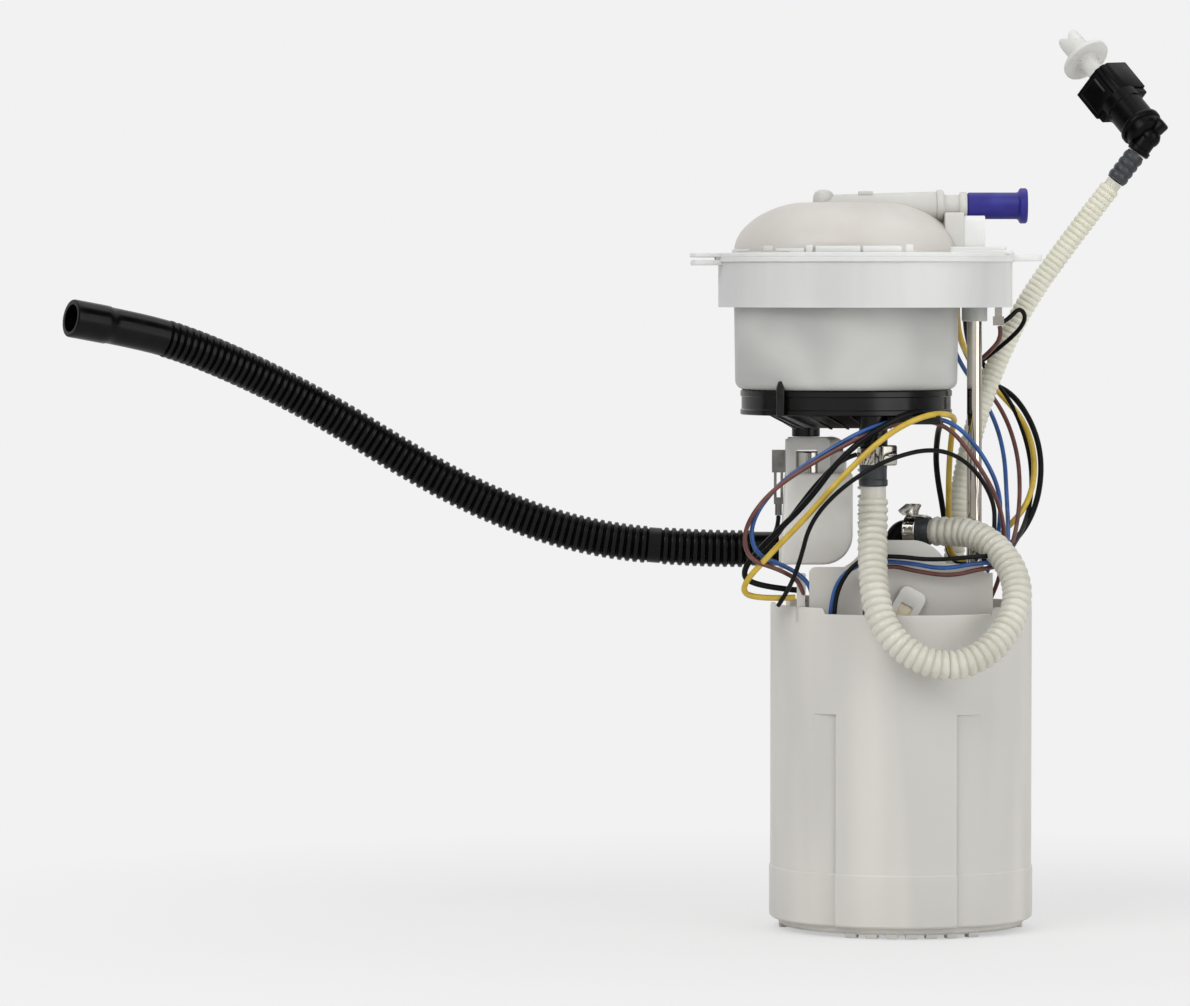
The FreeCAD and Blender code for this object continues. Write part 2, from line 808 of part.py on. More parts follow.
def make_filter_base():
    top = s.seat_height - s.bowl_depth
    body = start_piece("filter_base", s.dome_x, s.dome_y, top)
    shelf = -s.base_depth + s.base_wall
    cone_top = -s.base_depth
    cone_bottom = cone_top - s.base_cone_depth
    corners = [
        (0, cone_bottom), (s.base_cone_tip_radius, cone_bottom), (s.base_cone_radius, cone_top),
        (s.base_cone_radius, shelf), (s.base_radius - s.base_wall, shelf),
        (s.base_radius - s.base_wall, cone_top), (s.base_radius, cone_top), (s.base_radius, 0),
        (s.base_radius - s.base_wall, 0), (s.base_radius - s.base_wall, shelf + s.base_wall),
        (s.base_cone_radius - s.base_wall, shelf + s.base_wall), (s.base_cone_radius - s.base_wall, cone_top),
        (s.base_cone_tip_radius - s.base_wall / 2, cone_bottom + s.base_wall), (0, cone_bottom + s.base_wall),
    ]
    spin(body, "Revolution", draw(body, "XZ_Plane", corners))
    rib = draw(body, "XZ_Plane", [
        (s.base_cone_tip_radius - 12, cone_bottom - s.base_rib_height),
        (s.base_cone_tip_radius + s.base_rib_height, cone_bottom - s.base_rib_height),
        (s.base_cone_radius + s.base_rib_height, cone_top), (s.base_cone_radius - 1, cone_top + 1),
        (s.base_cone_tip_radius - 1, cone_bottom + 1), (s.base_cone_tip_radius - 12, cone_bottom + 1),
    ])
    ribs = pad(body, rib, s.base_rib_thickness, both=True)
    pattern(body, ribs, s.base_rib_count)

    # Latch rib: it runs up the base's wall and laps over the side of the bowl
    near, far = s.latch_x + s.latch_width / 2, s.latch_x - s.latch_width / 2
    wall_y = math.sqrt(s.base_radius.number**2 - far.number**2) - 1
    bowl_y = math.sqrt((s.dome_radius + s.free_gap).number**2 - near.number**2)
    lower = draw_box(body, "XZ_Plane", far, cone_top, near, -s.free_gap, (0, 0, wall_y))
    pad(body, lower, bowl_y + s.latch_thickness - wall_y)
    upper = [
        (far, -s.free_gap - 1), (near, -s.free_gap - 1), (near, 0), (s.latch_x + 0.9, s.latch_rise),
        (s.latch_x - 0.9, s.latch_rise), (far, 0),
    ]
    pad(body, draw(body, "XZ_Plane", upper, (0, 0, bowl_y)), s.latch_thickness)

    # Stubs for the drain side and for the feed hose
    shoulder = s.feed_stub_shoulder - top
    tip = s.feed_stub_tip - top
    feed = (s.feed_stub_x - s.dome_x, s.feed_stub_y - s.dome_y)
    drain = (s.drain_stub_x - s.dome_x, s.drain_stub_y - s.dome_y)
    pad(body, draw_circles(body, "XY_Plane", [(*feed, s.stub_radius)], (0, 0, shoulder)), -shoulder)
    pad(body, draw_circles(body, "XY_Plane", [(*feed, s.feed_barb_radius)], (0, 0, tip)), shoulder - tip)
    drain_end = s.regulator_top + s.fit_gap - top
    pad(body, draw_circles(body, "XY_Plane", [(*drain, s.stub_radius)], (0, 0, drain_end)), -drain_end)
    pocket(body, draw_circles(body, "XY_Plane", [(*feed, s.stub_bore_radius)], (0, 0, 1)), 1 - tip + 1)
    pocket(body, draw_circles(body, "XY_Plane", [(*drain, s.stub_bore_radius)], (0, 0, 1)), 2 - drain_end)
    return body


# Pressure regulator

def make_regulator_housing():
    body = start_piece("regulator_housing", 0, s.regulator_y, as_size(0))
    low, top, corner = s.regulator_bottom, s.regulator_shoulder, s.regulator_corner
    bend = corner * 0.293
    lower = [
        (s.regulator_left, low), (s.regulator_right - corner, low),
        (s.regulator_right, low + corner, s.regulator_right - bend, low + bend),
        (s.regulator_right, top), (s.regulator_top_left, top),
    ]
    pad(body, draw(body, "XZ_Plane", lower), s.regulator_width, both=True)
    soften(body, s.regulator_width * 0.24, lambda edge: upright(edge) and edge.Vertexes[0].X < s.can_x.number)

    # Strap round the can: flat front with rounded upper corners
    strap_front = s.regulator_y - s.regulator_front
    strap = draw_box(body, "XZ_Plane", s.regulator_top_left, top - 1, s.regulator_strap_right, s.regulator_top,
                     (0, 0, strap_front))
    pad(body, strap, s.strap_depth, back=True)
    summit = (s.regulator_top - 0.1).number

    def strap_corner(edge):
        along_y = abs(edge.Vertexes[0].Y - edge.Vertexes[-1].Y) > 0.9 * edge.Length
        return along_y and min(vertex.Z for vertex in edge.Vertexes) > summit
    soften(body, s.strap_round, strap_corner)
    tower = draw_circles(body, "XY_Plane", [(s.relief_x + 2, s.relief_y - s.regulator_y - 1,
                                             s.relief_tower_radius)], (0, 0, top - 2))
    pad(body, tower, s.relief_seat - top + 2)
    spigot = draw_circles(body, "YZ_Plane", [(0, s.spigot_height, s.spigot_radius)],
                          (0, 0, s.regulator_left + 2))
    pad(body, spigot, s.spigot_length + 2, back=True)

    # Hollow for the can, the window in front of it and the bores
    can_room = s.can_radius + s.can_flange + s.fit_gap
    hollow = draw_circles(body, "XY_Plane", [(s.can_x, s.can_y - s.regulator_y, can_room)],
                          (0, 0, s.can_top + s.fit_gap))
    pocket(body, hollow, s.can_top - s.can_bottom + 2 * s.fit_gap)
    window = draw_box(body, "XZ_Plane", s.window_left, s.window_bottom, s.window_right, s.window_top,
                      (0, 0, strap_front))
    pocket(body, window, s.strap_depth)
    bore = draw_circles(body, "YZ_Plane", [(0, s.spigot_height, s.spigot_radius - 1.6)],
                        (0, 0, s.regulator_left - s.spigot_length))
    pocket(body, bore, s.spigot_length + 18, back=True)
    down = draw_circles(body, "XY_Plane", [(s.can_x, 0, s.stub_bore_radius)], (0, 0, s.can_bottom + 1))
    pocket(body, down, s.can_bottom - s.spigot_height + 1)
    entry = draw_circles(body, "XY_Plane", [(s.drain_stub_x, s.drain_stub_y - s.regulator_y,
                                             s.stub_bore_radius - s.free_gap)], (0, 0, s.regulator_top + 1))
    pocket(body, entry, s.regulator_top - s.can_top + 1.5)
    return body


def make_regulator_pieces():
    height = s.can_top - s.can_bottom
    step = height * 0.52
    can = [
        (0, 0), (s.can_radius, 0), (s.can_radius, step), (s.can_radius + s.can_flange, step),
        (s.can_radius + s.can_flange, step + 2), (s.can_radius, step + 2), (s.can_radius, height),
        (s.nozzle_bore_radius, height), (s.nozzle_bore_radius, height - 6), (0, height - 6),
    ]
    turned_piece("regulator_can", s.can_x, s.can_y, s.can_bottom, can)
    seal = disc_corners(s.relief_radius + 0.2, 0, s.relief_seal)
    turned_piece("relief_valve_seal", s.relief_x, s.relief_y, s.relief_seat, seal)
    cap = [
        (0, 0), (s.relief_radius, 0), (s.relief_radius, s.relief_rise * 0.3),
        (s.relief_radius * 0.82, s.relief_rise * 0.7), (s.relief_radius * 0.45, s.relief_rise),
        (0, s.relief_rise),
    ]
    turned_piece("relief_valve_cap", s.relief_x, s.relief_y, s.relief_seat + s.relief_seal, cap)

    body = start_piece("ground_terminal", s.terminal_left, s.regulator_y - s.terminal_depth / 2, as_size(0))
    block = draw_box(body, "XZ_Plane", 0, s.terminal_bottom, s.terminal_width, s.terminal_top)
    pad(body, block, s.terminal_depth, back=True)
    for left in (0.8, s.terminal_width - 0.8 - s.strip_width):
        strip = draw_box(body, "XZ_Plane", left, s.strip_bottom, left + s.strip_width, s.terminal_bottom + 1)
        pad(body, strip, s.strip_width, back=True)
    foot = draw_box(body, "XZ_Plane", 0.8, s.strip_bottom - 2, s.terminal_width - 0.8, s.strip_bottom + 1)
    pad(body, foot, s.strip_width, back=True)
    crimp = draw_circles(body, "XY_Plane", [(s.terminal_width / 2, s.crimp_radius, s.crimp_radius)],
                         (0, 0, s.crimp_bottom))
    pad(body, crimp, s.strip_bottom - s.crimp_bottom)


# Feed hose end: cuff and worm clamp on the stub

def make_feed_clamp():
    cuff_inner = s.feed_barb_radius + s.fit_gap
    cuff = sleeve_corners(cuff_inner, s.cuff_radius, -s.cuff_length, 0)
    turned_piece("feed_hose_cuff", s.feed_stub_x, s.feed_stub_y, s.feed_stub_shoulder - s.fit_gap, cuff)

    # The screw housing faces forward and to the right, with the screw lying along the band.
    band_bottom = s.band_top - s.band_width
    heading = ((0, 0, 1), s.clamp_turn.number)
    body = start_piece("worm_clamp_band", s.feed_stub_x, s.feed_stub_y, band_bottom, *heading)
    inner = s.cuff_radius + s.fit_gap
    outer = inner + s.band_thickness
    screw_x = outer + s.screw_radius + s.fit_gap
    half = s.screw_housing / 2
    pad(body, draw_circles(body, "XY_Plane", [(0, 0, outer)]), s.band_width)
    box = draw_box(body, "XY_Plane", s.feed_barb_radius, -half, screw_x + s.screw_radius + 0.8, half)
    pad(body, box, s.band_width)
    pocket(body, draw_circles(body, "XY_Plane", [(0, 0, inner)], (0, 0, s.band_width + 1)), s.band_width + 2)
    tunnel = draw_circles(body, "XZ_Plane", [(screw_x, s.band_width / 2, s.screw_radius + s.fit_gap)])
    pocket(body, tunnel, 2 * s.screw_length, both=True)

    screw = start_piece("worm_clamp_screw", s.feed_stub_x, s.feed_stub_y, band_bottom, *heading)
    middle = (screw_x, s.band_width / 2)
    head_y = half + s.free_gap
    shank = draw_circles(screw, "XZ_Plane", [(*middle, s.screw_radius)], (0, 0, head_y))
    pad(screw, shank, s.screw_length, back=True)
    head = draw_circles(screw, "XZ_Plane", [(*middle, s.screw_radius + 0.5)], (0, 0, head_y))
    pad(screw, head, s.screw_head)
    slot = draw_box(screw, "XZ_Plane", screw_x - 0.4, 0, screw_x + 0.4, s.band_width,
                    (0, 0, head_y + s.screw_head + 0.1))
    pocket(screw, slot, 1)


# Guide rods, clips and spring

def make_rods():
    top = s.seat_height - s.rod_boss_depth + s.rod_seat_depth - s.fit_gap
    length = top - s.rod_end_height
    chamfer = s.rod_radius * 0.25
    corners = [
        (0, 0), (s.rod_radius - chamfer, 0), (s.rod_radius, chamfer), (s.rod_radius, length), (0, length),
    ]
    turned_piece("guide_rod_front", s.front_rod_x, s.front_rod_y, s.rod_end_height, corners)
    turned_piece("guide_rod_rear", s.rear_rod_x, s.rear_rod_y, s.rod_end_height, corners)
    clip_height = s.deck_top - s.deck_thickness - s.free_gap - s.clip_thickness
    rods = [(s.front_rod_x, s.front_rod_y), (s.rear_rod_x, s.rear_rod_y)]
    body = start_piece("rod_clips", 0, 0, clip_height)
    pad(body, draw_circles(body, "XY_Plane", [(x, y, s.clip_radius) for x, y in rods]), s.clip_thickness)
    holes = [(x, y, s.rod_radius + s.fit_gap) for x, y in rods]
    pocket(body, draw_circles(body, "XY_Plane", holes, (0, 0, s.clip_thickness + 1)), s.clip_thickness + 2)
    body.Tip = body.Group[-1]
    washer = sleeve_corners(s.rod_radius + s.fit_gap, s.washer_radius, 0, s.washer_thickness)
    turned_piece("spring_washer", s.rear_rod_x, s.rear_rod_y, s.washer_height, washer)


def make_spring():
    # Round wire kept to a few flats per turn; the ends lie on the sleeve and under the washer.
    flats = 12
    radius, wire = s.spring_radius.number, s.spring_wire.number
    low = (s.sleeve_top + s.spring_wire / 2 + s.fit_gap).number
    high = (s.washer_height - s.spring_wire / 2 - s.fit_gap).number
    steps = int(flats * s.spring_turns.number)
    path = []
    for number in range(steps + 1):
        angle = 2 * math.pi * number / flats
        height = low + (high - low) * number / steps
        path.append(FreeCAD.Vector(radius * math.cos(angle), radius * math.sin(angle), height))
    line = Part.makePolygon(path)
    coil = line.makePipeShell([outline_at(line, wire / 2, 5)], True, False, 1)
    item = own_shape("guide_spring", coil)
    place(item, s.rear_rod_x, s.rear_rod_y, as_size(0))


# Terminal clip under the collar

def make_terminal_clip():
    body = start_piece("terminal_clip", 58, -9, s.seat_height - s.skirt_depth - 8)
    pad(body, draw_box(body, "XY_Plane", -2.4, -1.6, 2.4, 1.6), 4)
    pad(body, draw_box(body, "XY_Plane", -1.6, -0.5, 1.6, 0.5, (0, 0, 3)), s.skirt_depth + 4.7)
    return body


# Reservoir pot and its base

def make_pot():
    body = start_piece("reservoir_pot", s.pot_x, 0, as_size(0))
    inner = s.pot_radius - s.pot_wall
    wall = [
        (s.base_plate_radius + s.fit_gap, s.pot_foot), (s.pot_radius, s.pot_foot), (s.pot_radius, s.pot_top),
        (inner, s.pot_top), (inner, s.pot_foot + s.pot_floor),
        (s.base_plate_radius + s.fit_gap, s.pot_foot + s.pot_floor),
    ]
    spin(body, "Revolution", draw(body, "XZ_Plane", wall))

    # Shallow grooves on both sides of the front panel
    depth = s.pot_radius + 1
    for left in (s.panel_left - s.groove_width, s.panel_right):
        groove = draw_box(body, "XY_Plane", left, -depth, left + s.groove_width, -s.pot_radius * 0.5,
                          (0, 0, s.groove_top))
        band = pocket(body, groove, s.groove_top)
        band.Label = "side_groove"
    liner = [
        (s.base_plate_radius + s.fit_gap, s.pot_foot), (s.pot_radius - s.groove_depth, s.pot_foot),
        (s.pot_radius - s.groove_depth, s.pot_top - 10), (inner, s.pot_top - 10),
        (inner, s.pot_foot + s.pot_floor), (s.base_plate_radius + s.fit_gap, s.pot_foot + s.pot_floor),
    ]
    spin(body, "Revolution", draw(body, "XZ_Plane", liner))

    # Ledges that carry the deck
    deck_bottom = s.deck_top - s.deck_thickness
    ledge = draw_box(body, "XZ_Plane", inner - s.ledge_size, deck_bottom - 12, inner + 0.5, deck_bottom)
    pattern(body, pad(body, ledge, s.ledge_size, both=True), s.ledge_count)

    # Notch for the drain spigot when the module is pressed together
    notch = draw_box(body, "YZ_Plane", s.notch_y - s.notch_half_width, s.notch_bottom,
                     s.notch_y + s.notch_half_width, s.pot_top + 1)
    pocket(body, notch, s.pot_radius + 2)
    return body


def make_base_plate():
    body = start_piece("base_plate", s.pot_x, 0, as_size(0))
    top = s.pot_foot + s.pot_floor
    disc = disc_corners(s.base_plate_radius, s.base_plate_bottom, top)
    spin(body, "Revolution", draw(body, "XZ_Plane", disc))
    foot = draw_box(body, "XZ_Plane", s.base_plate_radius - s.foot_depth, 0,
                    s.base_plate_radius, s.base_plate_bottom + 0.5)
    pattern(body, pad(body, foot, s.foot_width, both=True), s.foot_count)
    intake = draw_circles(body, "XY_Plane", [(s.jet_x - s.pot_x, s.jet_y, s.intake_radius)], (0, 0, top + 1))
    pocket(body, intake, top + 2)
    return body


# Carrier in the mouth of the pot

def make_carrier():
    body = start_piece("pump_carrier", 0, 0, as_size(0))
    deck_bottom = s.deck_top - s.deck_thickness
    deck_radius = s.pot_radius - s.pot_wall - s.free_gap
    pad(body, draw_circles(body, "XY_Plane", [(s.pot_x, 0, deck_radius)], (0, 0, deck_bottom)),
        s.deck_thickness)

    # Front plate with its hump and the two shoulders
    left, right = s.plate_left, s.plate_right
    hump_run = s.hump_top - s.plate_top
    front = [
        (left, deck_bottom), (right, deck_bottom), (right, s.plate_shoulder),
        (right - 4, s.plate_shoulder), (right - 4, s.slot_bottom + 14),
        (s.hump_right + 14.3, s.slot_bottom + 14),
        (s.hump_right, s.hump_top, s.hump_right + 8.4, s.hump_top - hump_run * 0.26),
        (s.hump_left, s.hump_top),
        (s.hump_left - 10.8, s.plate_top, s.hump_left - 4.6, s.plate_top + hump_run * 0.42),
        (left + 3, s.plate_top), (left, s.plate_top - 3, left + 0.88, s.plate_top - 0.88),
    ]
    pad(body, draw(body, "XZ_Plane", front, (0, 0, -s.plate_front)), s.plate_thickness, back=True)
    post_front = (0, 0, -s.plate_front - s.post_setback)
    post = draw_box(body, "XZ_Plane", s.post_left, deck_bottom, s.post_left + s.post_width, s.post_top,
                    post_front)
    pad(body, post, s.plate_thickness, back=True)
    bridge = draw_box(body, "XZ_Plane", s.post_left + 1, deck_bottom, s.plate_left + 2, s.slot_bottom,
                      post_front)
    pad(body, bridge, s.plate_thickness, back=True)

    # Side walls run back from the plate and stiffen it
    wall_back = s.plate_front + 38
    for x in (s.plate_left, s.plate_right - 6.5):
        side = draw_box(body, "XY_Plane", x, s.plate_front + 1, x + s.plate_thickness, wall_back,
                        (0, 0, deck_bottom))
        pad(body, side, s.sleeve_top - 16 - deck_bottom)

    # Guide sleeves
    rods = [(s.front_rod_x, s.front_rod_y), (s.rear_rod_x, s.rear_rod_y)]
    sleeves = draw_circles(body, "XY_Plane", [(x, y, s.sleeve_radius) for x, y in rods], (0, 0, deck_bottom))
    pad(body, sleeves, s.sleeve_top - deck_bottom)
    bores = [(x, y, s.rod_radius + s.fit_gap) for x, y in rods]
    pocket(body, draw_circles(body, "XY_Plane", bores, (0, 0, s.sleeve_top + 1)),
           s.sleeve_top - deck_bottom + 2)

    # Ways through the deck for the outlet sleeve, the return hose and the leads
    outlet = draw_circles(body, "XY_Plane", [
        (s.pump_x, s.pump_y, s.elbow_radius + s.fit_gap),
        (s.pot_x - 30, 4, 7),
    ], (0, 0, s.deck_top + 1))
    pocket(body, outlet, s.deck_thickness + 2)
    boss = draw_circles(body, "XY_Plane", [(s.return_x, s.return_y, s.return_hose_radius + 1.6)],
                        (0, 0, deck_bottom))
    pad(body, boss, s.deck_thickness + s.return_boss)
    cup = draw_circles(body, "XY_Plane", [(s.return_x, s.return_y, s.return_hose_radius + s.fit_gap)],
                       (0, 0, s.deck_top + s.return_boss + 1))
    pocket(body, cup, s.return_boss + 1)
    way = draw_circles(body, "XY_Plane", [(s.return_x, s.return_y, s.return_hose_bore)],
                       (0, 0, s.deck_top + 1))
    pocket(body, way, s.deck_thickness + 2)
    return body


def make_latch():
    body = start_piece("carrier_latch", 19.5, s.plate_front - 2.9, as_size(146), (0, 1, 0), 33)
    half, tall = 8.2, 8.6
    arch = [
        (-half, -tall), (half, -tall), (half, tall - half),
        (-half, tall - half, 0, tall),
    ]
    pad(body, draw(body, "XZ_Plane", arch), 2.6, back=True)
    pocket(body, draw_box(body, "XZ_Plane", -3, -5, 4, 1.5, (0, 0, 1)), 8, back=False)
    return body


# Electric pump

def make_pump_shell():
    body = turned_piece("pump_shell", s.pump_x, s.pump_y, as_size(0), [
        (s.shell_radius - s.shell_wall, s.shell_bottom), (s.shell_radius, s.shell_bottom),
        (s.shell_radius, s.shell_top), (s.shell_radius - s.shell_wall, s.shell_top),
    ])
    inner = s.shell_radius + s.fit_gap
    turned_piece("pump_isolator", s.pump_x, s.pump_y, as_size(0), [
        (inner, s.isolator_bottom), (s.isolator_radius, s.isolator_bottom),
        (s.isolator_radius, s.isolator_top), (inner, s.isolator_top),
    ])
    return body


def make_pump_inlet():
    room = s.shell_radius - s.shell_wall - s.fit_gap
    body = turned_piece("pump_inlet", s.pump_x, s.pump_y, as_size(0), [
        (0, s.shell_bottom - 3), (room + 0.6, s.shell_bottom - 3), (room + 0.6, s.shell_bottom - s.fit_gap),
        (room, s.shell_bottom - s.fit_gap), (room, s.inlet_top), (0, s.inlet_top),
    ])
    spigot = draw_circles(body, "XY_Plane", [(7, 0, s.inlet_spigot_radius)], (0, 0, s.inlet_spigot_bottom))
    pad(body, spigot, s.shell_bottom - s.inlet_spigot_bottom - 2)
    bore = draw_circles(body, "XY_Plane", [(7, 0, s.inlet_spigot_radius - 1.6)],
                        (0, 0, s.inlet_spigot_bottom - 1))
    pocket(body, bore, s.inlet_top - s.inlet_spigot_bottom + 2, back=True)
    seat = draw_circles(body, "XY_Plane", [(0, 0, s.bearing_radius + s.fit_gap)], (0, 0, s.inlet_top + 1))
    pocket(body, seat, s.bearing_length + 1)
    return body


def make_pump_head():
    room = s.shell_radius - s.shell_wall - s.fit_gap
    body = turned_piece("pump_head", s.pump_x, s.pump_y, as_size(0), [
        (0, s.head_bottom), (room, s.head_bottom), (room, s.shell_top + s.fit_gap),
        (room + 0.6, s.shell_top + s.fit_gap), (room + 0.6, s.head_top), (s.head_spigot_radius, s.head_top),
        (s.head_spigot_radius, s.head_spigot_top), (0, s.head_spigot_top),
    ])
    seat = draw_circles(body, "XY_Plane", [(0, 0, s.bearing_radius + s.fit_gap)], (0, 0, s.head_bottom - 1))
    pocket(body, seat, s.bearing_length + 1, back=True)
    chamber = draw_circles(body, "XY_Plane", [(0, 0, s.head_bore_radius)], (0, 0, s.head_spigot_top + 1))
    pocket(body, chamber, s.head_spigot_top - s.head_top + 1)
    return body


def make_motor():
    shell_room = s.shell_radius - s.shell_wall - s.fit_gap
    # Two magnet arcs on the inside of the shell
    body = turned_piece("magnets", s.pump_x, s.pump_y, as_size(0), [
        (shell_room - s.magnet_thickness, s.magnet_bottom), (shell_room, s.magnet_bottom),
        (shell_room, s.magnet_top), (shell_room - s.magnet_thickness, s.magnet_top),
    ])
    gap = draw_box(body, "XY_Plane", -s.shell_radius, -5, s.shell_radius, 5, (0, 0, s.magnet_top + 1))
    pocket(body, gap, s.magnet_top - s.magnet_bottom + 2)

    core = start_piece("armature", s.pump_x, s.pump_y, as_size(0))
    pad(core, draw_circles(core, "XY_Plane", [(0, 0, s.armature_radius)], (0, 0, s.armature_bottom)),
        s.armature_top - s.armature_bottom)
    slot = draw_box(core, "XY_Plane", s.armature_radius * 0.45, -1.1, s.armature_radius + 1, 1.1,
                    (0, 0, s.armature_top + 1))
    pattern(core, pocket(core, slot, s.armature_top - s.armature_bottom + 2), s.armature_slots)
    middle = draw_circles(core, "XY_Plane", [(0, 0, s.shaft_radius + s.fit_gap)], (0, 0, s.armature_top + 1))
    pocket(core, middle, s.armature_top - s.armature_bottom + 2)

    turned_piece("commutator", s.pump_x, s.pump_y, as_size(0), [
        (s.shaft_radius + s.fit_gap, s.commutator_bottom), (s.commutator_radius, s.commutator_bottom),
        (s.commutator_radius, s.commutator_top), (s.shaft_radius + s.fit_gap, s.commutator_top),
    ])
    turned_piece("rotor_shaft", s.pump_x, s.pump_y, as_size(0), [
        (0, s.shaft_bottom), (s.shaft_radius, s.shaft_bottom), (s.shaft_radius, s.shaft_top), (0, s.shaft_top),
    ])
    wheel = start_piece("impeller", s.pump_x, s.pump_y, as_size(0))
    thickness = s.impeller_top - s.impeller_bottom
    ring = [(0, 0, s.impeller_radius), (0, 0, s.shaft_radius + s.fit_gap)]
    pad(wheel, draw_circles(wheel, "XY_Plane", ring, (0, 0, s.impeller_bottom)), thickness)
    vane = draw_box(wheel, "XY_Plane", s.impeller_radius - 3, -0.9, s.impeller_radius + 1, 0.9,
                    (0, 0, s.impeller_top + 1))
    pattern(wheel, pocket(wheel, vane, thickness + 2), s.impeller_vanes)

    bush = start_piece("shaft_bearings", s.pump_x, s.pump_y, as_size(0))
    bush_ring = [(0, 0, s.bearing_radius), (0, 0, s.shaft_radius + s.fit_gap)]
    for low in (s.inlet_top - s.bearing_length + s.fit_gap, s.head_bottom):
        pad(bush, draw_circles(bush, "XY_Plane", bush_ring, (0, 0, low)), s.bearing_length - 2 * s.fit_gap)

    brushes = start_piece("brushes", s.pump_x, s.pump_y, as_size(0))
    reach = s.commutator_radius + s.fit_gap
    middle_height = (s.commutator_bottom + s.commutator_top) / 2
    for side in (-1, 1):
        near = reach if side > 0 else -shell_room + 1
        far = shell_room - 1 if side > 0 else -reach
        stick = draw_box(brushes, "XZ_Plane", near, middle_height - s.brush_width / 2, far,
                         middle_height + s.brush_width / 2)
        pad(brushes, stick, s.brush_width, both=True)


# Pieces in the foot of the pot

def make_foot_pieces():
    floor = s.pot_foot + s.pot_floor
    bag = start_piece("strainer", s.pump_x + 7, s.pump_y, s.strainer_bottom)
    half_long, half_wide = s.strainer_length / 2, s.strainer_width / 2
    outline = [
        (-half_long + half_wide, -half_wide), (half_long - half_wide - 8, -half_wide),
        (half_long - half_wide - 8, half_wide, half_long - 8, 0), (-half_long + half_wide, half_wide),
        ]
    outline[0] = (-half_long + half_wide, -half_wide, -half_long, 0)
    pad(bag, draw(bag, "XY_Plane", outline), s.strainer_thickness)
    neck_room = s.inlet_spigot_radius + s.fit_gap
    neck = draw_circles(bag, "XY_Plane", [(0, 0, neck_room + 1.6)])
    pad(bag, neck, s.inlet_spigot_bottom - s.strainer_bottom + 4)
    socket = draw_circles(bag, "XY_Plane", [(0, 0, neck_room)],
                          (0, 0, s.inlet_spigot_bottom - s.strainer_bottom + 5))
    pocket(bag, socket, 5 + s.fit_gap)

    jet = start_piece("jet_pump", s.jet_x, s.jet_y, floor)
    valve_room = s.foot_valve_thickness + s.foot_valve_lift + 1
    jet_corners = [
        (s.foot_valve_radius + 0.6, 0), (s.foot_valve_radius + 2, 0), (s.foot_valve_radius + 2, valve_room + 1.6),
        (s.jet_radius, valve_room + 1.6), (s.jet_radius, s.jet_height), (s.jet_radius - 2, s.jet_height),
        (s.jet_radius - 2, valve_room), (s.foot_valve_radius + 0.6, valve_room),
    ]
    spin(jet, "Revolution", draw(jet, "XZ_Plane", jet_corners))
    valve = [
        (0, 0), (s.foot_valve_radius, 0), (s.foot_valve_radius, s.foot_valve_thickness * 0.6),
        (2, s.foot_valve_thickness), (0, s.foot_valve_thickness),
    ]
    turned_piece("foot_valve", s.jet_x, s.jet_y, floor + s.fit_gap, valve)

    ball_seat = s.head_top + s.fit_gap
    poppet = [
        (0, 0), (s.check_radius, 0), (s.check_radius, s.check_length),
        (s.check_radius * 0.4, s.check_length + s.check_radius * 0.8),
        (0, s.check_length + s.check_radius * 0.8),
    ]
    turned_piece("outlet_check_valve", s.pump_x, s.pump_y, ball_seat, poppet)


# Outlet elbow, its clamp and cuff

def make_outlet():
    low, high = s.elbow_sleeve_bottom.number, s.elbow_height.number
    bend, end = s.elbow_bend.number, s.elbow_end.number
    up = FreeCAD.Vector(0, 0, low)
    corner = FreeCAD.Vector(0, 0, high)
    enter = FreeCAD.Vector(0, 0, high - bend)
    leave = FreeCAD.Vector(bend, 0, high)
    reach = bend * (1 - math.sqrt(0.5))
    middle = corner + FreeCAD.Vector(reach, 0, -reach)
    path = Part.Wire([
        Part.LineSegment(up, enter).toShape(),
        Part.Arc(enter, middle, leave).toShape(),
        Part.LineSegment(leave, FreeCAD.Vector(end, 0, high)).toShape(),
    ])
    outer = swept(path, s.elbow_radius.number, 12)
    way = swept(path, s.elbow_bore_radius.number, 8)
    socket = Part.makeCylinder((s.head_spigot_radius + s.fit_gap).number,
                               (s.head_spigot_top - s.elbow_sleeve_bottom + s.fit_gap).number, up)
    item = own_shape("outlet_elbow", outer.cut(way).cut(socket))
    heading = ((0, 0, 1), s.outlet_turn.number)
    place(item, s.pump_x, s.pump_y, as_size(0), *heading)

    # Cuff and clamp are drawn along X from the riser's axis.
    spot = (s.pump_x, s.pump_y, s.elbow_height)
    cuff = start_piece("elbow_cuff", *spot, *heading)
    inner = s.elbow_radius + s.fit_gap
    cuff_radius = inner + s.cuff_wall
    end, stop = s.elbow_cuff_end, s.elbow_end + s.free_gap
    spin(cuff, "Revolution", draw(cuff, "XZ_Plane", [
        (s.elbow_cuff_start, inner), (s.elbow_cuff_start, cuff_radius), (end, cuff_radius), (end, 0),
        (stop, 0), (stop, inner),
    ]), "H_Axis")

    clamp = start_piece("ear_clamp", *spot, *heading)
    inside = cuff_radius + s.fit_gap
    outside = inside + s.band_thickness
    at = (0, 0, s.ear_clamp_start)
    pad(clamp, draw_circles(clamp, "YZ_Plane", [(0, 0, outside)], at), s.ear_clamp_width)
    ear = [
        (-3, inside), (3, inside), (1.8, outside + s.ear_height), (-1.8, outside + s.ear_height),
    ]
    pad(clamp, draw(clamp, "YZ_Plane", ear, at), s.ear_clamp_width)
    hole = draw_circles(clamp, "YZ_Plane", [(0, 0, inside)], (0, 0, s.ear_clamp_start - 1))
    pocket(clamp, hole, s.ear_clamp_width + 2, back=True)


# Quick connector with its transport plug

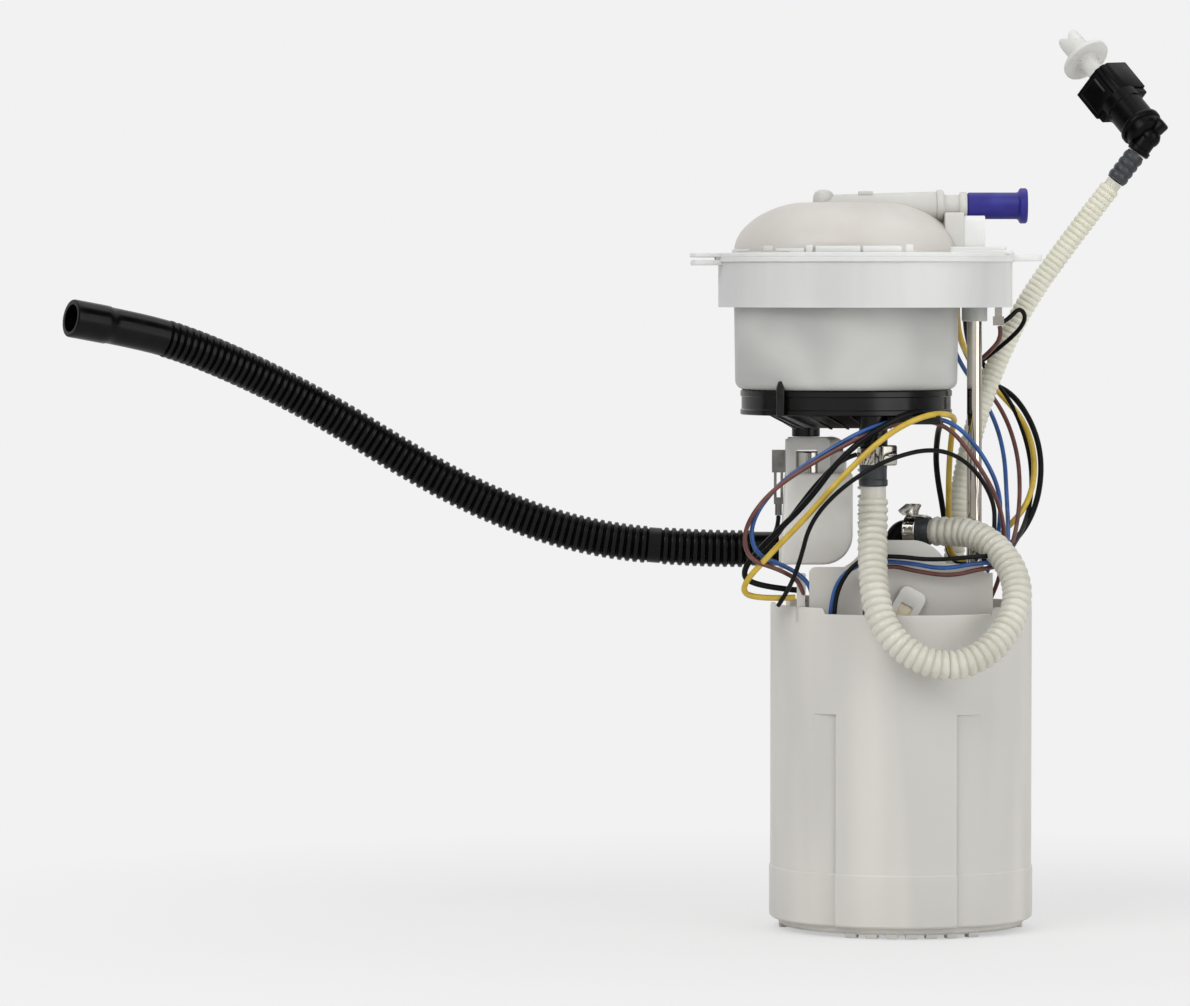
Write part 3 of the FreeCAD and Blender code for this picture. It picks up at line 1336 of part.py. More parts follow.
def make_connector():
    # The barrel leans with the hose's end, then turns about its arm so that its mouth faces away.
    arm_angle = 255
    lean = FreeCAD.Rotation(FreeCAD.Vector(0, 1, 0), s.connector_tilt.number)
    to_hose = FreeCAD.Rotation(FreeCAD.Vector(0, 1, 0), s.connector_tilt.number + arm_angle)
    hose_line = to_hose.multVec(FreeCAD.Vector(0, 0, 1))
    heading = FreeCAD.Rotation(hose_line, s.connector_turn.number).multiply(lean)
    axis, angle = tuple(heading.Axis), math.degrees(heading.Angle)
    print("connector points along", tuple(round(part, 5) for part in heading.multVec(FreeCAD.Vector(0, 0, 1))))
    spot = (s.connector_x, s.connector_y, s.connector_height)

    body = start_piece("quick_connector", *spot, axis, angle)
    head_end = s.head_start + s.head_length
    radius = s.connector_radius
    barrel = [
        (0, -6), (radius - 3.4, -6), (radius - 1, -4.6), (radius, -2.4), (radius, 5), (radius + 1.2, 5.6),
        (radius + 1.2, 8), (radius, 8.6), (radius, s.head_start), (0, s.head_start),
    ]
    spin(body, "Revolution", draw(body, "XZ_Plane", barrel))
    # Six-sided head with one narrow flat, turned a little on the barrel
    reach, flat, front, back = s.head_reach, s.head_flat, s.head_front, s.head_back
    across, along = math.cos(math.radians(10.4)), math.sin(math.radians(10.4))
    corners = [
        (-reach, as_size(0)), (as_size(0), front), (flat, front - 1), (reach, as_size(-1.8)),
        (as_size(0), -back), (-flat, 1 - back),
    ]
    outline = [(u * across + v * along, u * along - v * across) for u, v in corners]
    pad(body, draw(body, "XY_Plane", outline, (0, 0, s.head_start)), s.head_length)
    # Barb side of the elbow, along the hose's line
    arm = draw_circles(body, "XY_Plane", [(0, 0, s.arm_radius)])
    arm.AttachmentOffset = FreeCAD.Placement(FreeCAD.Vector(0, 0, 0),
                                             FreeCAD.Rotation(FreeCAD.Vector(0, 1, 0), arm_angle))
    pad(body, arm, s.arm_length)
    bore = draw_circles(body, "XY_Plane", [(0, 0, s.connector_bore_radius + s.fit_gap)],
                        (0, 0, head_end + 1))
    pocket(body, bore, s.plug_shank_length + 3)
    ring_room = draw_circles(body, "XY_Plane", [(0, 0, s.retainer_radius + s.fit_gap * 3)], (0, 0, head_end - 4))
    pocket(body, ring_room, s.retainer_length + s.fit_gap)
    window = draw_box(body, "XZ_Plane", -2.6, head_end - 3.4 - s.retainer_length, 2.6, head_end - 4.6)
    pocket(body, window, s.head_back * 2 + 4, both=True)

    low = head_end - 4 - s.retainer_length
    turned_piece("connector_retainer", *spot, sleeve_corners(
        s.connector_bore_radius + 0.4, s.retainer_radius, low, low + s.retainer_length), axis, angle)

    # Plug, drawn out of the mouth by its standoff as in the photo
    shank_low = head_end - s.plug_shank_length
    disc_low = head_end + s.plug_standoff
    grip_low = disc_low + s.plug_disc_thickness
    plug = [
        (0, shank_low), (s.connector_bore_radius, shank_low), (s.connector_bore_radius, disc_low),
        (s.plug_disc_radius, disc_low), (s.plug_disc_radius, grip_low), (s.plug_grip_radius, grip_low),
        (s.plug_grip_radius, grip_low + s.plug_grip_length), (0, grip_low + s.plug_grip_length),
    ]
    turned_piece("transport_plug", *spot, plug, axis, angle)


# Hoses and wires. Points are X, Y and height above the tank floor, chosen along the real routes.

feed_route = [
    (1.8, -42, 195.7), (1.8, -42, 186.5), (1.4, -45.6, 175), (1.1, -52.6, 163.5), (1.4, -61.6, 150),
    (5, -69, 135.5), (17, -72.6, 123.5), (33, -73, 118.6), (49, -69.6, 124), (59.6, -61.6, 135.6),
    (64.6, -52, 149), (61.6, -41.6, 161.6), (54, -31.6, 170.6), (45, -22.6, 175),
    (36.6, -18.33, 175.2), (28.4, -14.68, 175.2),
]
return_route = [
    (40.6, 29, 121.1), (40.6, 29, 138), (41, 29.4, 160), (42.2, 30.8, 182), (46.3, 34.4, 203),
    (51.6, 40, 223), (60.1, 44.4, 247), (73.5, 45, 275), (93.5, 45, 303), (113.4, 45, 329),
]
return_cuff_route = [(113.7, 45, 329.4), (118.2, 45, 335.3), (122.9, 45, 341.5)]
drain_route = [
    (-37.2, 17, 166.1), (-55, 17, 166.1), (-77, 17, 166.6), (-107, 17, 168.8), (-134, 17, 174.4),
    (-160, 16.8, 183.6), (-184, 16.6, 195.1), (-206, 15.4, 207.8), (-236, 11, 226.4), (-266, 3, 242.6),
    (-293, -9, 255), (-316, -21, 262.8), (-346, -39, 268.6),
]
yellow_route = [
    (41, 12, 292.7), (41, 13, 276), (42.6, 26, 260), (48.6, 44, 247), (58.6, 55.4, 234), (68.4, 47, 224.6),
    (76, 32, 207), (71, 18, 186), (61, 15, 172), (48, 9, 164), (38.4, 3, 168), (38.4, 3, 184), (37.4, 1, 203),
    (38.6, -14, 219), (37, -33, 226), (24, -52, 226.5), (5, -59, 215), (-12, -60, 197), (-28, -54.6, 174.6),
    (-43, -43, 155), (-49.5, -35.4, 148.6), (-43, -32.4, 145.4), (-31.6, -31.8, 145.6),
]
black_route = [
    (45.4, 18, 292.7), (45.4, 19, 277), (46, 32, 264), (50, 47, 251), (58, 60, 237), (70, 56, 228),
    (80, 40, 209), (77, 20, 186), (66, 9.6, 167.6), (50, 8.6, 159.8), (37, 8.4, 164), (33, 7.6, 180),
    (31.4, 4, 203), (32, -9, 218), (32.6, -25, 221.4), (27.5, -38, 224), (18, -46.8, 224), (6, -54.6, 217),
    (-10, -55.8, 203.6), (-27, -50, 180), (-42, -38.6, 159.6), (-48.4, -31.6, 152), (-43, -28.6, 149.2),
    (-30.6, -28.2, 148.6),
]
right_blue_route = [
    (34, 33, 292.7), (35, 35, 272), (43, 45, 248), (53.6, 49, 231.4), (58, 44.6, 217), (60.6, 36, 203),
    (61, 22, 186), (63.4, 4, 172), (63.4, -12, 160), (60.5, -30, 156.4), (50, -39.6, 158), (28, -40, 160),
    (12, -40, 160), (-3, -40.4, 156.6), (-12.4, -39.6, 143), (-14, -39, 130), (-14, -39, 121.3),
]
right_brown_route = [
    (38, 29, 292.7), (39, 31, 274), (44.6, 48, 254), (52.6, 53, 238), (62.4, 48, 222), (67, 36, 206),
    (67, 20, 190), (67.4, 2, 170), (67, -13, 156), (63.4, -29, 152), (52, -38.6, 152.4),
    (26, -38.4, 153.4), (10, -38.6, 154.6), (0.6, -38.6, 147), (-2, -38.6, 134), (-2, -38.6, 121.3),
]
right_black_route = [
    (42, 25, 292.7), (44, 28, 276), (52, 43, 258), (59, 56.6, 240.4), (66.6, 51.6, 229), (72, 43.6, 213),
    (72, 30, 191), (72.5, 14, 166), (70.6, -8, 155), (66.8, -28, 155), (55, -41, 156.6), (28, -43.4, 161.4),
    (11, -43.4, 163.4), (-4, -43, 160), (-11.4, -42.4, 147), (-11.4, -42, 133), (-11.4, -42, 121.3),
]
left_blue_route = [
    (-27.6, -31.8, 148.6), (-28.6, -33, 157), (-36, -36.6, 168), (-47, -44, 172), (-51.4, -47.4, 181),
    (-43, -49, 195), (-23, -50.4, 209), (0, -50.8, 219.6), (20, -43, 222.4), (35, -30.6, 219.4), (46, -23, 206),
    (53, -19.4, 190), (57, -12, 175), (56.6, 0, 163), (52, 11.6, 150), (45, 15.6, 136), (42, 15, 121.3),
]
left_brown_route = [
    (-27.6, -31.8, 145.2), (-32, -35.6, 155), (-40, -42.6, 161.6), (-50.4, -48, 166), (-55, -50.6, 177),
    (-46.6, -52, 193), (-24.6, -53, 205.4), (0, -52.6, 215.6), (19, -45.6, 219), (34, -33.6, 215.8),
    (46, -27, 202), (54.6, -23, 186), (60.4, -14, 170.6), (60.4, 0, 155.4), (56, 12, 143), (49, 17, 132),
    (46, 17.4, 121.3),
]
left_black_route = [
    (-35, -32, 142.7), (-31.6, -40, 150), (-26.6, -48.6, 163), (-22.6, -56.6, 178), (-12, -63.6, 195),
    (6, -64, 206), (28, -50, 212.4), (42, -36, 205), (50.4, -28.6, 192), (54.6, -27, 180),
]
ground_route = [
    (-5.6, -44.4, 209.6), (-13, -46.4, 204.4), (-25, -44.6, 189.4), (-36, -36.6, 172), (-43.6, -26, 160.4),
]
ground_tail_route = [(-37.55, 16, 180.5), (-37.8, 13.6, 176.4), (-40.6, 8, 171.4), (-43, 2, 167)]
clip_black_route = [
    (60.6, -9, 267), (66.4, -9, 269), (73, -8, 273), (77, -4, 268), (71, 4, 259), (60, 12, 250),
]
clip_brown_route = [(58.6, -9, 264.9), (59.4, -8.4, 260.6), (56.6, -5.6, 255.6), (51.6, -1, 250.8)]


def make_hoses():
    hose("feed_hose", feed_route, s.hose_radius)
    hose("return_hose", return_route, s.return_hose_radius)
    hose("drain_hose", drain_route, s.drain_hose_radius, s.drain_hose_bore)
    hose("return_hose_cuff", return_cuff_route, s.return_cuff_radius)


def make_wires():
    wires("yellow_wire", [yellow_route], s.power_wire_radius)
    wires("black_wire", [black_route], s.power_wire_radius)
    wires("blue_wires", [right_blue_route, left_blue_route], s.signal_wire_radius)
    wires("brown_wires", [right_brown_route, left_brown_route, clip_brown_route], s.signal_wire_radius)
    wires("thin_black_wires", [
        right_black_route, left_black_route, ground_route, ground_tail_route, clip_black_route,
    ], s.signal_wire_radius)


make_flange_lid()
make_connector_pins()
make_port_cap()
make_filter_bowl()
make_filter_insert()
make_filter_base()
make_regulator_housing()
make_regulator_pieces()
make_feed_clamp()
make_rods()
make_spring()
make_terminal_clip()
make_pot()
make_base_plate()
make_carrier()
make_latch()
make_pump_shell()
make_pump_inlet()
make_pump_head()
make_motor()
make_foot_pieces()
make_outlet()
make_connector()
make_hoses()
make_wires()
document.recompute()


def check_document():
    for item in document.Objects:
        troubles = [state for state in item.State if state in ("Invalid", "Error")]
        if troubles:
            raise ValueError(f"{item.Name} of {item.getParentGeoFeatureGroup().Label} is {troubles}")
        if item.TypeId in ("PartDesign::Pocket", "PartDesign::Groove"):
            before, after = item.BaseFeature.Shape.Volume, item.Shape.Volume
            if after > before - 0.01:
                raise ValueError(f"{item.Name} of {item.getParentGeoFeatureGroup().Label} cuts nothing")
    for piece in pieces:
        if piece.Shape.isNull() or not piece.Shape.isValid():
            raise ValueError(f"{piece.Label} has no valid shape")


check_document()
os.makedirs("parts", exist_ok=True)
for piece in pieces:
    piece.Shape.exportStep(f"parts/{piece.Label}.step")
    print(f"{piece.Label}: {len(piece.Shape.Solids)} solids, {piece.Shape.Volume / 1000:.2f} cm3")
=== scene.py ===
import json
import math

import bmesh
import bpy
from mathutils import Matrix, Vector


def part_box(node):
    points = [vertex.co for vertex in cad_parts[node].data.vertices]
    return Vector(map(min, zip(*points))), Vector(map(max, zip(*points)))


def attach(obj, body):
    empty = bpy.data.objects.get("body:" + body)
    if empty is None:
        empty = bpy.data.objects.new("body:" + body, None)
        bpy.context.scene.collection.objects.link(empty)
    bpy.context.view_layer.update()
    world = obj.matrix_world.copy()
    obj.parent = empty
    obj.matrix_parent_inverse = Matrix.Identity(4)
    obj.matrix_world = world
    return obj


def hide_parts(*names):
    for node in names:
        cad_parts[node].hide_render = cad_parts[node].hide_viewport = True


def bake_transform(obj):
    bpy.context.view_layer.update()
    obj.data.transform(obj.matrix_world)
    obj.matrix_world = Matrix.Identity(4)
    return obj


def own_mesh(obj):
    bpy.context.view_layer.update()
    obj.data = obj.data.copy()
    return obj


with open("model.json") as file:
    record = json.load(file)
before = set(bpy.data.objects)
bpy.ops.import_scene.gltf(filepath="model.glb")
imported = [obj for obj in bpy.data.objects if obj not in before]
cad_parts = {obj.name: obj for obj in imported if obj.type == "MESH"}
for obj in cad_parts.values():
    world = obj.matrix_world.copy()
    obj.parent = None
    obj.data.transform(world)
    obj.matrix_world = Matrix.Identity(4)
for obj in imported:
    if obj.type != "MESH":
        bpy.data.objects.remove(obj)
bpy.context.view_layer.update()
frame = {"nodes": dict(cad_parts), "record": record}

seatHeight = 293         # the flange seat above the tank floor, in mm: the frame's Z = 0
millimetre = 0.001
fullTurn = 2 * math.pi
stageScene = bpy.context.scene
stageScene.view_settings.view_transform = "Standard"


def inFrame(point):
    # Points are X, Y and height above the tank floor in mm, and the frame is in metres.
    return Vector((point[0], point[1], point[2] - seatHeight)) * millimetre


# Camera

cameraView = {"place": (-118.8, -2700, 283), "aim": (-118.8, 0, 187), "width": 523.6, "sensor": 36}


def makeCamera():
    data = bpy.data.cameras.new("photoCamera")
    data.sensor_width = cameraView["sensor"]
    data.lens = cameraView["sensor"] * abs(cameraView["place"][1]) / cameraView["width"]
    data.clip_end = 50
    camera = bpy.data.objects.new("photoCamera", data)
    stageScene.collection.objects.link(camera)
    camera.location = inFrame(cameraView["place"])
    sight = inFrame(cameraView["aim"]) - camera.location
    camera.rotation_euler = sight.to_track_quat("-Z", "Y").to_euler()
    stageScene.camera = camera


makeCamera()


# Materials

def fromHex(code):
    # A colour written as it shows on screen, turned to the linear values the shader takes
    parts = [int(code[i:i + 2], 16) / 255 for i in (0, 2, 4)]
    return [p / 12.92 if p < 0.04045 else ((p + 0.055) / 1.055) ** 2.4 for p in parts] + [1.0]


def feed(tree, node, values):
    # What goes into each of a shader node's sockets: another node's output, or a plain value
    for key, value in values.items():
        if isinstance(value, bpy.types.NodeSocket):
            tree.links.new(value, node.inputs[key])
        else:
            node.inputs[key].default_value = value


def addNode(tree, kind, values=None, operation=None):
    node = tree.nodes.new("ShaderNode" + kind)
    if operation:
        node.operation = operation
    feed(tree, node, values or {})
    return node


def calc(tree, operation, *values):
    return addNode(tree, "Math", dict(enumerate(values)), operation).outputs[0]


def makeFinish(name, colour, second, spots, low, high, bump, sockets=None, stretch=None, soft=5, brush=None):
    material = bpy.data.materials.new(name)
    material.use_nodes = True
    tree = material.node_tree
    place = addNode(tree, "TexCoord").outputs["Object"]

    def noise(scale, detail, distortion, scaling):
        source = place
        if scaling:
            source = addNode(tree, "Mapping", {"Scale": scaling, "Vector": place}).outputs["Vector"]
        return addNode(tree, "TexNoise", {"Scale": scale, "Detail": detail, "Distortion": distortion,
                                          "Vector": source}).outputs["Fac"]

    ramp = addNode(tree, "ValToRGB", {"Fac": noise(spots, soft, 0.4, stretch)})
    for tone, position, code in zip(ramp.color_ramp.elements, (0.36, 0.66), (second, colour)):
        tone.position, tone.color = position, fromHex(code)
    wear = addNode(tree, "MapRange", {"Value": noise(160, 4, 0.2, brush), "From Min": 0.3, "From Max": 0.7,
                                      "To Min": low, "To Max": high})
    relief = addNode(tree, "Bump", {"Strength": bump, "Distance": 0.0002, "Height": noise(900, 3, 0, brush)})
    feed(tree, tree.nodes["Principled BSDF"], {
        "Base Color": ramp.outputs["Color"], "Roughness": wear.outputs["Result"],
        "Normal": relief.outputs["Normal"], **(sockets or {})})
    return material


def shine(level):
    return {"IOR": 1.5, "Specular IOR Level": level}


milky = {"Subsurface Weight": 0.3, "Subsurface Radius": (1.0, 0.95, 0.9), "Subsurface Scale": 0.004, **shine(0.28)}
metal = {"Metallic": 1.0}

# Colour, second colour, spots per metre, least and most roughness, bump, and where it differs: other sockets,
# the stretch of the spots, their detail, and the stretch of the fine grain
finishLooks = {
    "lidPlastic": ("e6e6e4", "d9dad8", 22, 0.34, 0.46, 0.12, milky),
    "domePlastic": ("d3cfca", "c4bfb9", 15, 0.32, 0.44, 0.1, milky),
    "skirtPlastic": ("dfdfdc", "cbcccb", 20, 0.36, 0.48, 0.1, milky, (1, 1, 0.15)),
    "bowlPlastic": ("c6c6c2", "b0b1ae", 24, 0.3, 0.42, 0.1, milky, (1, 1, 1.3), 1),
    "potPlastic": ("dbd8d1", "c8c6c1", 24, 0.38, 0.5, 0.14, milky, (1, 1, 0.12), 2),
    "carrierPlastic": ("e0ded9", "d4d2cd", 30, 0.36, 0.5, 0.12, milky),
    "brightPlastic": ("edebe6", "dcdad5", 34, 0.28, 0.4, 0.08, milky, None, 2),
    "channelPlastic": ("d0cfca", "c4c3be", 22, 0.34, 0.46, 0.1, milky),
    "plugPlastic": ("f4f4f1", "e8e7e3", 40, 0.24, 0.36, 0.06, {**milky, "Transmission Weight": 0.25}, None, 2),
    "glossBlack": ("090808", "0e0d0c", 90, 0.16, 0.26, 0.1, shine(0.3)),
    "blackPlastic": ("050505", "09090a", 90, 0.24, 0.36, 0.14, shine(0.1)),
    "bluePlastic": ("34368c", "29247c", 60, 0.34, 0.5, 0.15, shine(0.3)),
    "creamHose": ("e6e4d3", "d8d5c1", 60, 0.34, 0.46, 0.08, milky),
    "clearHose": ("dfdcd0", "cfccbe", 50, 0.14, 0.26, 0.06,
                  {**milky, "Transmission Weight": 0.12, "Specular IOR Level": 0.5}),
    "slateCuff": ("3c3f43", "2c2f33", 120, 0.3, 0.45, 0.2, shine(0.4)),
    "blackHose": ("050505", "0a0a0a", 90, 0.16, 0.28, 0.1, shine(0.16)),
    "polishedSteel": ("c2bfb8", "a9a59c", 60, 0.1, 0.18, 0.05, metal),
    "rodSteel": ("d8d2c8", "c4bdb1", 50, 0.05, 0.1, 0.03, metal, None, 5, (1, 1, 0.05)),
    "springSteel": ("9c9a96", "85837f", 90, 0.2, 0.34, 0.06, metal),
    "motorSteel": ("b4b2ac", "a09e98", 40, 0.28, 0.42, 0.1, metal, None, 5, (1, 1, 0.1)),
    "darkFerrite": ("3a3a3c", "2c2c2e", 200, 0.6, 0.8, 0.3),
    "woundCopper": ("b8693c", "95502b", 160, 0.26, 0.42, 0.3, metal),
    "tinnedBrass": ("d8c79c", "c2b084", 150, 0.18, 0.3, 0.08, metal),
    "dullTin": ("8d8c88", "6f6e6b", 150, 0.26, 0.4, 0.1, metal),
    "creamPad": ("f0e6cf", "e0d3b4", 200, 0.3, 0.44, 0.1),
    "filterPaper": ("d9d2b8", "cbc3a6", 120, 0.8, 0.95, 0.5),
    "strainerMesh": ("e6e4da", "d2cfc2", 400, 0.7, 0.9, 0.6),
    "valveRubber": ("111112", "1a1a1b", 120, 0.5, 0.65, 0.2),
    "yellowWire": ("d2b441", "bd9d30", 120, 0.3, 0.42, 0.1),
    "blackWire": ("0c0c0d", "141415", 120, 0.26, 0.4, 0.1, shine(0.14)),
    "blueWire": ("2f63ab", "234a86", 120, 0.28, 0.4, 0.1),
    "brownWire": ("6e4038", "562d26", 120, 0.28, 0.4, 0.1),
}
finishes = {name: makeFinish(name, *look) for name, look in finishLooks.items()}

# The finish that each of the record's slots gets, on carried-over nodes and on new pieces
slotFinishes = {
    "warm_white_plastic": "lidPlastic", "cool_white_plastic": "bowlPlastic", "pot_white_plastic": "potPlastic",
    "bright_white_plastic": "brightPlastic", "black_plastic": "blackPlastic", "blue_plastic": "bluePlastic",
    "cream_hose": "creamHose", "clear_hose": "clearHose", "slate_cuff": "slateCuff", "black_hose": "blackHose",
    "steel": "polishedSteel", "rod_steel": "rodSteel", "spring_steel": "springSteel",
    "motor_steel": "motorSteel", "ferrite": "darkFerrite", "copper": "woundCopper",
    "tin_terminal": "tinnedBrass", "filter_paper": "filterPaper", "strainer_mesh": "strainerMesh",
    "valve_rubber": "valveRubber", "yellow_insulation": "yellowWire", "black_insulation": "blackWire",
    "blue_insulation": "blueWire", "brown_insulation": "brownWire",
}
nodeFinishes = {"ground_terminal": "dullTin", "terminal_clip": "polishedSteel"}
slotOf = {part["node"]: part["material_slot"] for part in frame["record"]["subparts"]}


def dressNodes():
    for name, node in frame["nodes"].items():
        finish = finishes[nodeFinishes.get(name) or slotFinishes.get(slotOf.get(name), "carrierPlastic")]
        if not node.material_slots:
            node.data.materials.append(finish)
        for place in node.material_slots:
            place.material = finish


dressNodes()
print("camera and finishes ready")


# Mesh helpers: they work in mm, with heights above the tank floor

def settle(mesh):
    bmesh.ops.remove_doubles(mesh, verts=mesh.verts[:], dist=0.0005)
    bmesh.ops.recalc_face_normals(mesh, faces=mesh.faces[:])
    return mesh


def turn(mesh, degrees, axis="Z", centre=(0, 0, 0)):
    bmesh.ops.rotate(mesh, verts=mesh.verts[:], cent=centre,
                     matrix=Matrix.Rotation(math.radians(degrees), 3, axis))
    return mesh


def shift(mesh, x=0, y=0, height=0):
    bmesh.ops.translate(mesh, verts=mesh.verts[:], vec=(x, y, height))
    return mesh


def pushed(mesh, faces, x=0, y=0, height=0):
    # Extrudes faces and moves the new ends
    made = bmesh.ops.extrude_face_region(mesh, geom=faces)["geom"]
    ends = [part for part in made if isinstance(part, bmesh.types.BMVert)]
    bmesh.ops.translate(mesh, verts=ends, vec=(x, y, height))
    return ends, [part for part in made if isinstance(part, bmesh.types.BMFace)]


def spun(places, axis, steps, closed):
    # A line of points, spun all the way round an axis through the origin
    mesh = bmesh.new()
    points = [mesh.verts.new(place) for place in places]
    for first, second in zip(points, points[1:] + points[:1] if closed else points[1:]):
        mesh.edges.new((first, second))
    bmesh.ops.spin(mesh, geom=mesh.verts[:] + mesh.edges[:], cent=(0, 0, 0), axis=axis,
                   angle=fullTurn, steps=steps, use_merge=True, use_duplicate=False)
    return settle(mesh)


def turned(profile, steps=96, closed=False, centre=(0, 0)):
    # A profile of radius and height, spun round the upright axis
    return shift(spun([(radius, 0, height) for radius, height in profile], (0, 0, 1), steps, closed), *centre)


def sideways(profile, start, y, height, steps=48):
    # A profile of radius and distance, turned to lie along X
    return shift(turn(turned(profile, steps), 90, "Y"), start, y, height)


def arc(centre, size, first, last, steps):
    # Points on an ellipse, with bearings in degrees from the right and up
    bearings = [math.radians(first + (last - first) * step / steps) for step in range(steps + 1)]
    return [(centre[0] + size[0] * math.cos(a), centre[1] + size[1] * math.sin(a)) for a in bearings]


def roundedFace(outline, radius, steps=4):
    mesh = bmesh.new()
    points = [mesh.verts.new((x, 0, y)) for x, y in outline]
    mesh.faces.new(points)
    if radius:
        bmesh.ops.bevel(mesh, geom=points, offset=radius, segments=steps, profile=0.5, affect="VERTICES",
                        material=-1)
    return mesh


def slab(outline, near, far, radius=0, steps=4):
    # An outline of X and height, from Y near to Y far
    mesh = roundedFace(outline, radius, steps)
    pushed(mesh, mesh.faces[:], y=far - near)
    return settle(shift(mesh, y=near))


def ringSlab(outer, inner, near, far, outerRadius=0, innerRadius=0):
    # A frame between two outlines of as many corners, from Y near to Y far
    mesh = join(bmesh.new(), roundedFace(outer, outerRadius), roundedFace(inner, innerRadius))
    bmesh.ops.delete(mesh, geom=mesh.faces[:], context="FACES_ONLY")
    pushed(mesh, bmesh.ops.bridge_loops(mesh, edges=mesh.edges[:])["faces"], y=far - near)
    return settle(shift(mesh, y=near))


def flatPlate(outline, low, high, radius=0):
    # An outline of X and Y, from one height to another
    return shift(turn(slab(outline, 0, high - low, radius, 5), -90, "X"), 0, 0, high)


def box(left, low, right, high):
    return [(left, low), (right, low), (right, high), (left, high)]


def block(low, high):
    mesh = bmesh.new()
    bmesh.ops.create_cube(mesh, size=1)
    bmesh.ops.scale(mesh, verts=mesh.verts[:], vec=[b - a for a, b in zip(low, high)])
    return shift(mesh, *[(a + b) / 2 for a, b in zip(low, high)])


def toData(name, mesh):
    data = bpy.data.meshes.new(name)
    mesh.to_mesh(data)
    mesh.free()
    return data


def join(mesh, *parts):
    for part in parts:
        holder = toData("holder", part)
        mesh.from_mesh(holder)
        bpy.data.meshes.remove(holder)
    return mesh


def soften(mesh, width, angle=35, segments=2):
    sharp = [edge for edge in mesh.edges if edge.is_manifold
             and edge.calc_face_angle(0) > math.radians(angle)]
    bmesh.ops.bevel(mesh, geom=sharp, offset=width, segments=segments, profile=0.5, affect="EDGES",
                    material=-1, clamp_overlap=True)
    return mesh


def makePiece(name, mesh, body, node, finish=None, sharp=32, replaced=True):
    bmesh.ops.translate(mesh, verts=mesh.verts[:], vec=(0, 0, -seatHeight))
    bmesh.ops.scale(mesh, verts=mesh.verts[:], vec=(millimetre,) * 3)
    return finishPiece(name, toData(name, mesh), body, node, finish, sharp, replaced)


def finishPiece(name, data, body, node, finish=None, sharp=32, replaced=True):
    # The node gives the slot. A body is a name, which the piece is attached to, or two names and two heights, with
    # which the piece is left unattached and its transform is baked into the mesh.
    piece = bpy.data.objects.new(name, data)
    stageScene.collection.objects.link(piece)
    data.shade_smooth()
    data.set_sharp_from_angle(angle=math.radians(sharp))
    data.materials.clear()
    data.materials.append(finishes[finish or slotFinishes[slotOf[node]]])
    if isinstance(body, str):
        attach(piece, body)
    else:
        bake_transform(piece)
    if replaced:
        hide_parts(node)
    return piece


# Cords. The points are those of the model's routes: X, Y and height above the floor, in mm.

def routeCurve(points, thickness=0.0):
    curve = bpy.data.curves.new("routeLine", "CURVE")
    curve.dimensions = "3D"
    curve.resolution_u = 12
    curve.twist_mode = "MINIMUM"
    spline = curve.splines.new("NURBS")
    spline.points.add(len(points) - 1)
    for point, place in zip(spline.points, points):
        point.co = (*inFrame(place), 1)
    spline.order_u = 3
    spline.use_endpoint_u = True
    curve.bevel_depth = thickness
    curve.bevel_resolution = 3
    curve.use_fill_caps = True
    return bpy.data.objects.new("routeLine", curve)


def measured(points):
    # The line that the route's spline makes, as points in metres, and its length in mm
    line = routeCurve(points)
    mesh = bpy.data.meshes.new_from_object(line)
    found = [vertex.co.copy() for vertex in mesh.vertices]
    bpy.data.meshes.remove(mesh)
    bpy.data.objects.remove(line)
    return found, lineLength(found)


def lineLength(points):
    return sum((b - a).length for a, b in zip(points, points[1:])) / millimetre


def alongRoute(points, profile, steps):
    # A profile of distance and radius in mm, spun round X and bent onto the route's spline
    mesh = spun([(x, 0, radius) for x, radius in profile], (1, 0, 0), steps, True)
    bmesh.ops.scale(mesh, verts=mesh.verts[:], vec=(millimetre,) * 3)
    tube = bpy.data.objects.new("straightTube", toData("straightTube", mesh))
    line = routeCurve(points)
    for item in (tube, line):
        stageScene.collection.objects.link(item)
    bend = tube.modifiers.new("bend", "CURVE")
    bend.object = line
    bend.deform_axis = "POS_X"
    depsgraph = bpy.context.evaluated_depsgraph_get()
    result = bpy.data.meshes.new_from_object(tube.evaluated_get(depsgraph))
    bpy.data.objects.remove(tube)
    bpy.data.objects.remove(line)
    return result


# One ring of a corrugated wall, as shares of its pitch and of its height: with a flat crest, or soft and round
ribbed = ((0, 0), (0.17, 0.3), (0.25, 0.9077), (0.5, 1), (0.75, 0.9077), (0.83, 0.3))
rounded = ((0, 0), (0.13, 0.42), (0.27, 0.82), (0.5, 1), (0.73, 0.82), (0.87, 0.42))


def rings(wave, start, end, values):
    count = max(1, round((end - start) / values["pitch"]))
    step = (end - start) / count
    root, height = values["root"], values["crest"] - values["root"]
    return [(start + step * (ring + share), root + height * rise)
            for ring in range(count) for share, rise in wave] + [(end, root)]


def smoothRun(start, end, radius, step=3.5):
    count = max(1, round((end - start) / step))
    return [(start + (end - start) * k / count, radius) for k in range(count + 1)]


def bore(length, radius):
    return smoothRun(0, length, radius, 6)[::-1]


drainHose = {
    "route": [
        (-37.2, 17, 166.1), (-55, 17, 166.1), (-77, 17, 166.6), (-107, 17, 168.8), (-134, 17, 174.4),
        (-160, 16.8, 183.6), (-184, 16.6, 195.1), (-206, 15.4, 207.8), (-236, 11, 226.4), (-266, 3, 242.6),
        (-293, -9, 255), (-316, -21, 262.8), (-346, -39, 268.6),
    ],
    "crest": 8.3, "root": 7.0, "pitch": 3.3, "bore": 6.1, "length": 0.342, "diameter": 0.0164,
}


